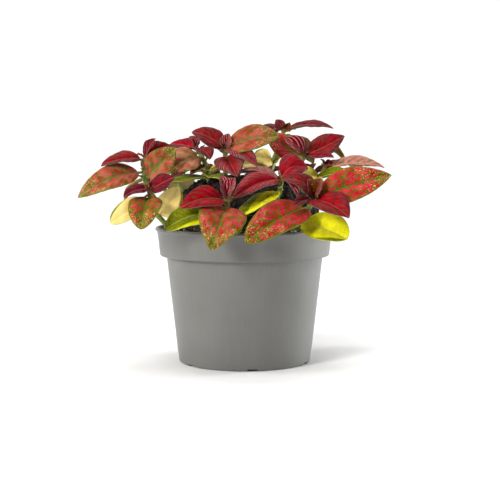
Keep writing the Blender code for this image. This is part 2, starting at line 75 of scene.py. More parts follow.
DRAIN_HOLE_RADIUS = 1.6 * MM
DRAIN_HOLE_PLACE = 15.5 * MM
PLASTIC_GLOSS = 0.38              # how strongly it mirrors the lamps
MERGE_DISTANCE = 0.005 * MM


def body_radius(height):
    """Outside radius of the tapered body under the band."""
    share = height / (POT_HEIGHT - BAND_HEIGHT)
    return BASE_RADIUS + (BODY_RADIUS_TOP - BASE_RADIUS) * share


def arc(radius_at, height_at, size, start, end, steps=5):
    """Points of a rounded corner in a profile, from one angle to another in degrees."""
    angles = [math.radians(start + (end - start) * step / steps) for step in range(steps + 1)]
    return [(radius_at + size * math.cos(a), height_at + size * math.sin(a)) for a in angles]


def turned(profile, steps):
    """A body of revolution about Z from (radius, height) points that begin and end on the axis."""
    bm = bmesh.new()
    verts = [bm.verts.new((radius, 0.0, height)) for radius, height in profile]
    edges = [bm.edges.new(pair) for pair in zip(verts, verts[1:])]
    bmesh.ops.spin(
        bm, geom=verts + edges, cent=(0, 0, 0), axis=(0, 0, 1), angle=math.tau,
        steps=steps, use_merge=True, use_duplicate=False,
    )
    bmesh.ops.remove_doubles(bm, verts=bm.verts[:], dist=MERGE_DISTANCE)
    bmesh.ops.recalc_face_normals(bm, faces=bm.faces[:])
    return bm


def object_from(name, bm, *materials, crease=40):
    """A finished object from a bmesh, smooth except over edges sharper than the crease."""
    mesh = bpy.data.meshes.new(name)
    bm.to_mesh(mesh)
    bm.free()
    for material in materials:
        mesh.materials.append(material)
    mesh.shade_smooth()
    mesh.set_sharp_from_angle(angle=math.radians(crease))
    obj = bpy.data.objects.new(name, mesh)
    bpy.context.scene.collection.objects.link(obj)
    return obj


class Finish:
    """A material whose colour, roughness and relief are worked out by nodes."""

    def __init__(self, name):
        self.material = bpy.data.materials.new(name)
        self.material.use_nodes = True
        self.tree = self.material.node_tree
        self.shader = self.tree.nodes["Principled BSDF"]
        self.object_place = self.tree.nodes.new("ShaderNodeTexCoord").outputs["Object"]

    def node(self, kind, inputs, **settings):
        """A node of this kind, with each input set to a number or linked to an output."""
        made = self.tree.nodes.new("ShaderNode" + kind)
        for name, value in settings.items():
            setattr(made, name, value)
        for key, value in inputs.items():
            if isinstance(value, bpy.types.NodeSocket):
                self.tree.links.new(value, made.inputs[key])
            else:
                made.inputs[key].default_value = value
        return made

    def math(self, operation, *values):
        return self.node("Math", dict(enumerate(values)), operation=operation).outputs[0]

    def product(self, *shares):
        """Several shares multiplied together."""
        product = shares[0]
        for share in shares[1:]:
            product = self.math("MULTIPLY", product, share)
        return product

    def total(self, *terms, start=0.0):
        """The sum of several values, each given with its weight."""
        total = start
        for value, weight in terms:
            total = self.math("MULTIPLY_ADD", value, weight, total)
        return total

    def moved(self, place, scale):
        """The place with each of its axes stretched by its own scale."""
        inputs = {0: place, 1: scale}
        return self.node("VectorMath", inputs, operation="MULTIPLY").outputs[0]

    def noise(self, place, scale, detail=2.0, rough=0.5, warp=0.0):
        inputs = {"Vector": place, "Scale": scale, "Detail": detail, "Roughness": rough,
                  "Distortion": warp}
        return self.node("TexNoise", inputs).outputs["Fac"]

    def step(self, value, low, high):
        """0 below low, 1 above high and smooth between them, or the other way round."""
        inputs = {"Value": value, "From Min": low, "From Max": high}
        return self.node("MapRange", inputs, interpolation_type="SMOOTHSTEP").outputs[0]

    def dots(self, place, scale, size, chosen):
        """Round dots in some of the cells, and the random numbers that each cell has."""
        cells = self.node("TexVoronoi", {"Vector": place, "Scale": scale}).outputs
        kind = self.parts(cells["Color"])
        return self.product(self.step(cells["Distance"], *size), self.step(kind[0], *chosen)), kind

    def mix(self, share, one, other):
        """From one colour to another by a share."""
        made = self.tree.nodes.new("ShaderNodeMix")
        made.data_type = "RGBA"
        for socket, value in ((0, share), (6, one), (7, other)):
            if isinstance(value, bpy.types.NodeSocket):
                self.tree.links.new(value, made.inputs[socket])
            else:
                made.inputs[socket].default_value = (*value, 1.0)
        return made.outputs[2]

    def ramp(self, value, low, high, one, other):
        """One colour where the value is below low, another above high, smooth between them."""
        return self.mix(self.step(value, low, high), one, other)

    def over(self, colour, tone, *shares):
        """The colour with a tone laid over it, by the product of the shares."""
        return self.mix(self.product(*shares), colour, tone)

    def parts(self, vector):
        """The three numbers of a vector."""
        return self.node("SeparateXYZ", {0: vector}).outputs

    def own(self, name, output="Vector"):
        """What the mesh holds under this name."""
        return self.node("Attribute", {}, attribute_name=name).outputs[output]

    def surface(self, colour, roughness, height=None, relief=0.1, strength=1.0, gloss=0.15):
        """Sets the colour, the roughness, a relief in millimetres and how much it mirrors."""
        self.shader.inputs["Specular IOR Level"].default_value = gloss
        self.tree.links.new(colour, self.shader.inputs["Base Color"])
        if isinstance(roughness, bpy.types.NodeSocket):
            self.tree.links.new(roughness, self.shader.inputs["Roughness"])
        else:
            self.shader.inputs["Roughness"].default_value = roughness
        if height is not None:
            inputs = {"Height": height, "Distance": relief * MM, "Strength": strength}
            bump = self.node("Bump", inputs).outputs[0]
            self.tree.links.new(bump, self.shader.inputs["Normal"])
        return self.material


def pot_profile():
    """The pot's section, from its axis out along the foot, up the wall and down inside it."""
    band_low = POT_HEIGHT - BAND_HEIGHT
    shelf = band_low + WALL
    lip = LIP_HEIGHT / 2
    lip_in = (RIM_RADIUS - BAND_RADIUS_TOP + WALL) / 2
    outside = [(0.0, 0.0), (DRAIN_START, 0.0)]
    outside += arc(BASE_RADIUS - FOOT_CORNER, FOOT_CORNER, FOOT_CORNER, -90, 0)
    outside += [(body_radius(band_low * step / 8), band_low * step / 8) for step in range(1, 8)]
    outside += [
        (body_radius(band_low - BAND_ROOT), band_low - BAND_ROOT),
        (BODY_RADIUS_TOP + BAND_ROOT / 4, band_low - 0.3 * BAND_ROOT),
        (BODY_RADIUS_TOP + BAND_ROOT / 2, band_low),
    ]
    outside += arc(BAND_RADIUS_LOW - BAND_CORNER, band_low + BAND_CORNER, BAND_CORNER, -90, 0)
    outside += [
        ((BAND_RADIUS_LOW + BAND_RADIUS_TOP) / 2, POT_HEIGHT - BAND_HEIGHT / 2),
        (BAND_RADIUS_TOP, POT_HEIGHT - LIP_HEIGHT - LIP_FLARE_HEIGHT),
        (BAND_RADIUS_TOP + LIP_FLARE, POT_HEIGHT - LIP_HEIGHT),
    ]
    lip_top = arc(RIM_RADIUS - lip_in, POT_HEIGHT - lip, lip, -60, 90, 8)
    stretched = [(RIM_RADIUS - lip_in + (radius - RIM_RADIUS + lip_in) * lip_in / lip, height)
                 for radius, height in lip_top]
    inside = arc(RIM_RADIUS - lip_in, POT_HEIGHT - LIP_INNER_CORNER, LIP_INNER_CORNER, 90, 150, 3)
    inside += [
        (BAND_RADIUS_TOP - WALL, POT_HEIGHT - LIP_HEIGHT),
        (BAND_RADIUS_LOW - WALL, shelf + BAND_ROOT),
        (body_radius(shelf) - WALL, shelf - BAND_ROOT),
        (body_radius(FLOOR) - WALL, FLOOR),
        (0.0, FLOOR),
    ]
    return outside + stretched + inside


def drain_cutters():
    """What the drain channels and the holes over them take out of the foot."""
    length = RIM_RADIUS - DRAIN_START
    bm = bmesh.new()
    for index in range(DRAIN_COUNT):
        turn = Matrix.Rotation(math.tau * (index + DRAIN_TURN) / DRAIN_COUNT, 4, "Z")
        place = Matrix.Translation((DRAIN_START + length / 2, 0.0, 0.0))
        size = Matrix.Diagonal((length, DRAIN_WIDTH, 2 * DRAIN_DEPTH, 1.0))
        bmesh.ops.create_cube(bm, size=1.0, matrix=turn @ place @ size)
        place = Matrix.Translation((DRAIN_HOLE_PLACE, 0.0, FLOOR + DRAIN_DEPTH / 2))
        bmesh.ops.create_cone(
            bm, cap_ends=True, segments=24, radius1=DRAIN_HOLE_RADIUS,
            radius2=DRAIN_HOLE_RADIUS, depth=2 * FLOOR, matrix=turn @ place,
        )
    return object_from("drain_cutters", bm)


def cut(obj, cutter):
    """Cuts one object out of another, and removes the cutter."""
    step = obj.modifiers.new("cut", "BOOLEAN")
    step.operation = "DIFFERENCE"
    step.object = cutter
    step.use_self = True
    graph = bpy.context.evaluated_depsgraph_get()
    mesh = bpy.data.meshes.new_from_object(obj.evaluated_get(graph))
    obj.modifiers.clear()
    obj.data = mesh
    bpy.data.objects.remove(cutter, do_unlink=True)


def grey_plastic():
    """Grey moulded plastic: faint clouds, streaks up and down from its flow, and small flecks."""
    finish = Finish("grey_plastic")
    place = finish.object_place
    cloudy = finish.noise(place, 60, 3)
    flow = finish.noise(finish.moved(place, (1, 1, 0.06)), 900, 2)
    fleck, kind = finish.dots(place, 420, (0.13, 0.07), (0.86, 0.9))
    grey = finish.ramp(cloudy, 0.35, 0.65, (0.137, 0.136, 0.127), (0.15, 0.149, 0.14))
    grey = finish.over(grey, (0.2, 0.2, 0.19), finish.step(flow, 0.5, 0.75), 0.12)
    grey = finish.over(grey, (0.45, 0.45, 0.43), fleck, 0.1)
    grey = finish.over(grey, (0.12, 0.12, 0.12), fleck, finish.step(kind[1], 0.4, 0.5), 0.7)
    height = finish.total((flow, 0.35), start=finish.noise(place, 2600, 2, 0.6))
    roughness = finish.total((cloudy, 0.16), start=0.34)
    return finish.surface(grey, roughness, height, 0.03, 0.35, PLASTIC_GLOSS)


pot = object_from("nursery_pot", turned(pot_profile(), POT_STEPS), grey_plastic(), crease=35)
cut(pot, drain_cutters())
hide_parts("pot")
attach(pot, "root")

# The compost is dark peat and bark, filled to just under the lip. The young plants were set in
# it with their own root ball, which stands proud of it in the middle as a crumbly mound painted
# near black as the shade under the leaves.
SOIL_EDGE = 44.2 * MM
SOIL_GAP = 0.3 * MM               # clearance to the pot, as between the solids
MOUND_HEIGHT = 17.6 * MM
MOUND_CENTRE = Vector((0.0, 5.0 * MM))
MOUND_HALF_WIDTH = 27.5 * MM
MOUND_FRONT = 20.0 * MM
MOUND_BACK = 22.0 * MM
MOUND_POWER = 4
SOIL_BUMP = 0.45 * MM
SOIL_BUMP_SIZE = 2.6 * MM
SOIL_RINGS = 60
SOIL_STEPS = 190
CRUMB = 0.34 * MM                 # height of the fine relief
CRUMB_SIZE = 1.1 * MM
FINE_CRUMB = 0.42                 # size of the finer crumbs, as a share of that
CRUMB_UPRIGHT = 0.012             # metres from the axis within which they rise rather than spread
SOIL_TOP = 0.1 * MM               # how far under the edge the fill still counts as its top
SHADE_FROM = 1.0 * MM             # heights above the edge over which brown turns to painted shade
SHADE_TO = 6.0 * MM
SOIL_RADIUS = BAND_RADIUS_TOP - WALL - 2 * SOIL_GAP


def soil_height(x, y):
    """Level of the compost: flat along the wall, with the old root ball standing proud."""
    depth = MOUND_FRONT if y < MOUND_CENTRE.y else MOUND_BACK
    reach = math.hypot((x - MOUND_CENTRE.x) / MOUND_HALF_WIDTH, (y - MOUND_CENTRE.y) / depth)
    rise = MOUND_HEIGHT * max(0.0, 1.0 - reach ** MOUND_POWER)
    bump = SOIL_BUMP * noise.noise(Vector((x, y, 0.0)) / SOIL_BUMP_SIZE)
    return SOIL_EDGE + rise + bump


def crumbled(point):
    """The point moved by the fine crumbs of the surface."""
    coarse = noise.noise(point / CRUMB_SIZE)
    fine = noise.noise(point / (FINE_CRUMB * CRUMB_SIZE) + Vector((7.0, 3.0, 1.0)))
    out = Vector((point.x, point.y, CRUMB_UPRIGHT)).normalized()
    return point + out * CRUMB * (coarse + 0.5 * fine)


def compost_mesh():
    """The fill of the pot, turned with rings enough to take the crumbs of its surface."""
    rings = [(SOIL_RADIUS * ring / SOIL_RINGS, SOIL_EDGE) for ring in range(SOIL_RINGS + 1)]
    shelf = POT_HEIGHT - BAND_HEIGHT + WALL
    inner = WALL + SOIL_GAP
    wall = [
        (BAND_RADIUS_LOW - inner, shelf + BAND_ROOT),
        (body_radius(shelf) - inner, shelf - BAND_ROOT),
        (body_radius(FLOOR) - inner, FLOOR + SOIL_GAP),
        (0.0, FLOOR + SOIL_GAP),
    ]
    bm = turned(rings + wall, SOIL_STEPS)
    for vert in bm.verts:
        if vert.co.z > SOIL_EDGE - SOIL_TOP:
            vert.co.z = soil_height(vert.co.x, vert.co.y)
            if vert.co.xy.length < SOIL_RADIUS - CRUMB:
                vert.co = crumbled(vert.co)
    return bm


def peat():
    """Brown at the wall, near black on the mound as painted shade from the leaves, pale dust."""
    finish = Finish("peat")
    place = finish.object_place
    clod = finish.noise(place, 420, 4, 0.6)
    grain = finish.noise(place, 1900, 3, 0.65)
    mound = finish.step(finish.parts(place)[2], SOIL_EDGE + SHADE_FROM, SOIL_EDGE + SHADE_TO)
    dry = finish.ramp(grain, 0.35, 0.7, (0.05, 0.032, 0.024), (0.17, 0.12, 0.09))
    # Painted shade: the mound is coloured near black for the shade that the leaves cast on it.
    painted_mound_shade = finish.ramp(clod, 0.4, 0.65, (0.005, 0.0045, 0.005), (0.02, 0.015, 0.012))
    dust = finish.dots(place, 1300, (0.3, 0.12), (0.8, 0.85))[0]
    colour = finish.over(finish.mix(mound, dry, painted_mound_shade), (0.32, 0.26, 0.21), dust,
                         finish.total((mound, -0.45), start=0.5))
    return finish.surface(colour, 0.92, finish.math("ADD", grain, clod), 0.35, 0.9)


compost = object_from("compost", compost_mesh(), peat(), crease=80)
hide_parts("soil")
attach(compost, "root")

# Loose bits lie on the compost: white perlite, sand, brown bark and crumbs of peat. They are
# scattered at random and partly sunk in, with fewer of every kind on the mound.
SCATTER_SEED = 23
MOUND_STARTS = 2.0 * MM           # height above the edge from which a place is on the mound
SUNK = 0.25                       # how much of a lump is under the surface
LUMP_STRETCHES = (0.75, 1.3)      # how much longer or shorter each side of a lump is
LUMP_ROUGHNESS = 0.44
LUMP_DENTS = 0.4 * MM
FLAKE_TILT = 0.3
scatter = random.Random(SCATTER_SEED)


def place_on_soil(margin, refused):
    """A random place clear of the pot's wall. A share of those on the mound are refused."""
    while True:
        angle = scatter.uniform(0, math.tau)
        radius = (SOIL_RADIUS - margin) * math.sqrt(scatter.random())
        x, y = radius * math.cos(angle), radius * math.sin(angle)
        height = soil_height(x, y)
        if height < SOIL_EDGE + MOUND_STARTS or scatter.random() > refused:
            return Vector((x, y, height))


def any_turn():
    """A turn every way for a round lump."""
    angles = [scatter.uniform(0, math.tau) for _ in range(3)]
    turn = Matrix.Rotation(angles[0], 4, "X") @ Matrix.Rotation(angles[1], 4, "Y")
    return turn @ Matrix.Rotation(angles[2], 4, "Z")


def flat_turn():
    """A turn about the upright, and a little tilt, for a flat flake."""
    turn = Matrix.Rotation(scatter.uniform(0, math.tau), 4, "Z")
    return turn @ Matrix.Rotation(scatter.gauss(0, FLAKE_TILT), 4, "X")


def scattered(name, material, count, sizes, shape, refused):
    """Many small lumps in one piece, each its own size and turn."""
    bm = bmesh.new()
    for _ in range(count):
        size = scatter.uniform(*sizes) * MM
        place = place_on_soil(size, refused)
        place.z += size * (0.5 - SUNK) * shape[2]
        stretch = [size / 2 * side * scatter.uniform(*LUMP_STRETCHES) for side in shape]
        turn = any_turn() if shape[0] == shape[2] else flat_turn()
        lump = bmesh.ops.create_icosphere(
            bm, subdivisions=1, radius=1.0,
            matrix=Matrix.Translation(place) @ turn @ Matrix.Diagonal((*stretch, 1.0)),
        )
        for vert in lump["verts"]:
            dent = LUMP_ROUGHNESS * noise.noise(vert.co / LUMP_DENTS)
            vert.co = place + (vert.co - place) * (1 + dent)
    obj = object_from(name, bm, material, crease=50)
    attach(obj, "root")


def mineral(name, low, high, scale=2200, roughness=0.85):
    """A dull grain that goes from one colour to another in fine patches."""
    finish = Finish(name)
    coarse = finish.noise(finish.object_place, scale / 6, 1)
    fine = finish.noise(finish.object_place, scale, 3)
    colour = finish.ramp(finish.total((coarse, 0.5), (fine, 0.5)), 0.38, 0.62, low, high)
    return finish.surface(colour, roughness, fine, 0.06, 0.8)


scattered("perlite", mineral("perlite_white", (0.4, 0.36, 0.33), (0.8, 0.78, 0.74)),
          170, (0.5, 1.3), (1, 1, 1), 1.0)
scattered("sand_grains", mineral("sand", (0.16, 0.1, 0.08), (0.5, 0.36, 0.3)),
          900, (0.3, 0.75), (1, 1, 1), 0.99)
scattered("bark", mineral("bark_brown", (0.05, 0.025, 0.015), (0.2, 0.11, 0.06)),
          420, (0.8, 2.2), (1.3, 0.45, 0.3), 0.85)
scattered("peat_crumbs", mineral("crumb", (0.012, 0.009, 0.008), (0.06, 0.04, 0.03)),
          1900, (0.4, 1.5), (1, 0.9, 1), 0.2)

# Fine roots and dry fibres, pale tan to a dull violet, lie in loose curls on the compost. Each
# is thinner towards one end and arches a little off the surface between its ends.
FIBRES = 46
FIBRE_STEPS = 9
FIBRE_SIDES = 5
FIBRE_LENGTHS = (2.5, 6.5)        # millimetres
FIBRE_LIFTS = (0.1, 1.1)          # millimetres
FIBRE_RADII = (0.06, 0.12)        # of the thick end, in millimetres
FIBRE_TAPER = 0.6                 # how much thinner the other end is
FIBRE_SUNK = 0.1 * MM
FIBRE_WANDER = 0.35               # how far the heading strays at each step, in radians
FIBRE_START_MARGIN = 1.5 * MM
FIBRE_WALL_MARGIN = 0.6 * MM
FIBRE_REFUSED = 0.9
FIBRE_NUDGE = Vector((0.02, 0.02, 0.0)) * MM      # moves one on where it meets the wall


def fibre_curl():
    """The middle line of one fibre, that wanders over the compost and lifts a little off it."""
    start = place_on_soil(FIBRE_START_MARGIN, FIBRE_REFUSED)
    heading = scatter.uniform(0, math.tau)
    length = scatter.uniform(*FIBRE_LENGTHS) * MM
    lift = scatter.uniform(*FIBRE_LIFTS) * MM
    point = start.copy()
    points = []
    for step in range(FIBRE_STEPS + 1):
        share = step / FIBRE_STEPS
        ground = soil_height(point.x, point.y)
        height = ground + lift * math.sin(math.pi * share) - FIBRE_SUNK
        points.append(Vector((point.x, point.y, height)))
        heading += scatter.gauss(0, FIBRE_WANDER)
        nudged = point + Vector((math.cos(heading), math.sin(heading), 0)) * length / FIBRE_STEPS
        if nudged.xy.length < SOIL_RADIUS - FIBRE_WALL_MARGIN:
            point = nudged
        else:
            heading += math.pi / 2
            point = point + FIBRE_NUDGE
    return points


fibre_bm = bmesh.new()
for _ in range(FIBRES):
    curl = fibre_curl()
    thickness = scatter.uniform(*FIBRE_RADII) * MM
    rings = []
    for index, point in enumerate(curl):
        ahead = curl[min(index + 1, FIBRE_STEPS)] - curl[max(index - 1, 0)]
        turn = ahead.to_track_quat("Z", "Y").to_matrix().to_4x4()
        taper = thickness * (1.0 - FIBRE_TAPER * index / FIBRE_STEPS)
        ring = bmesh.ops.create_circle(fibre_bm, segments=FIBRE_SIDES, radius=taper,
                                       matrix=Matrix.Translation(point) @ turn)["verts"]
        rings.append({edge for vert in ring for edge in vert.link_edges})
    for lower, upper in zip(rings, rings[1:]):
        bmesh.ops.bridge_loops(fibre_bm, edges=list(lower | upper))
    bmesh.ops.holes_fill(fibre_bm, edges=list(rings[0] | rings[-1]), sides=FIBRE_SIDES)
bmesh.ops.recalc_face_normals(fibre_bm, faces=fibre_bm.faces[:])
fibres = object_from("root_fibres", fibre_bm,
                     mineral("root_skin", (0.22, 0.14, 0.15), (0.52, 0.44, 0.34)), crease=60)
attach(fibres, "root")

# Sixteen shoots stand in the compost. Each is a round green stem, thicker at the joints where
# its leaves grow in pairs, with its oldest leaves low down and its youngest in a tuft on top.
# It is rooted in the compost, and its leafy crown starts part of the way up.
ROOTING_DEPTH = 5.0 * MM
ROOTING_PULL = 1.5                # how strongly a root turns down from the stem's own line
CROWN_GAP = 0.3 * MM              # clearance between a stem and the crown that it carries
STEM_RADIUS_LOW = 0.95 * MM
STEM_RADIUS_TOP = 0.65 * MM
STEM_SIDES = 14
STEM_STEPS = 30
TIP_REACH = 0.9 * MM
JOINT_SWELL = 0.22                # how much thicker a stem is at a leaf joint
JOINT_LENGTH = 0.035              # half length of the swelling, as a share of the stem
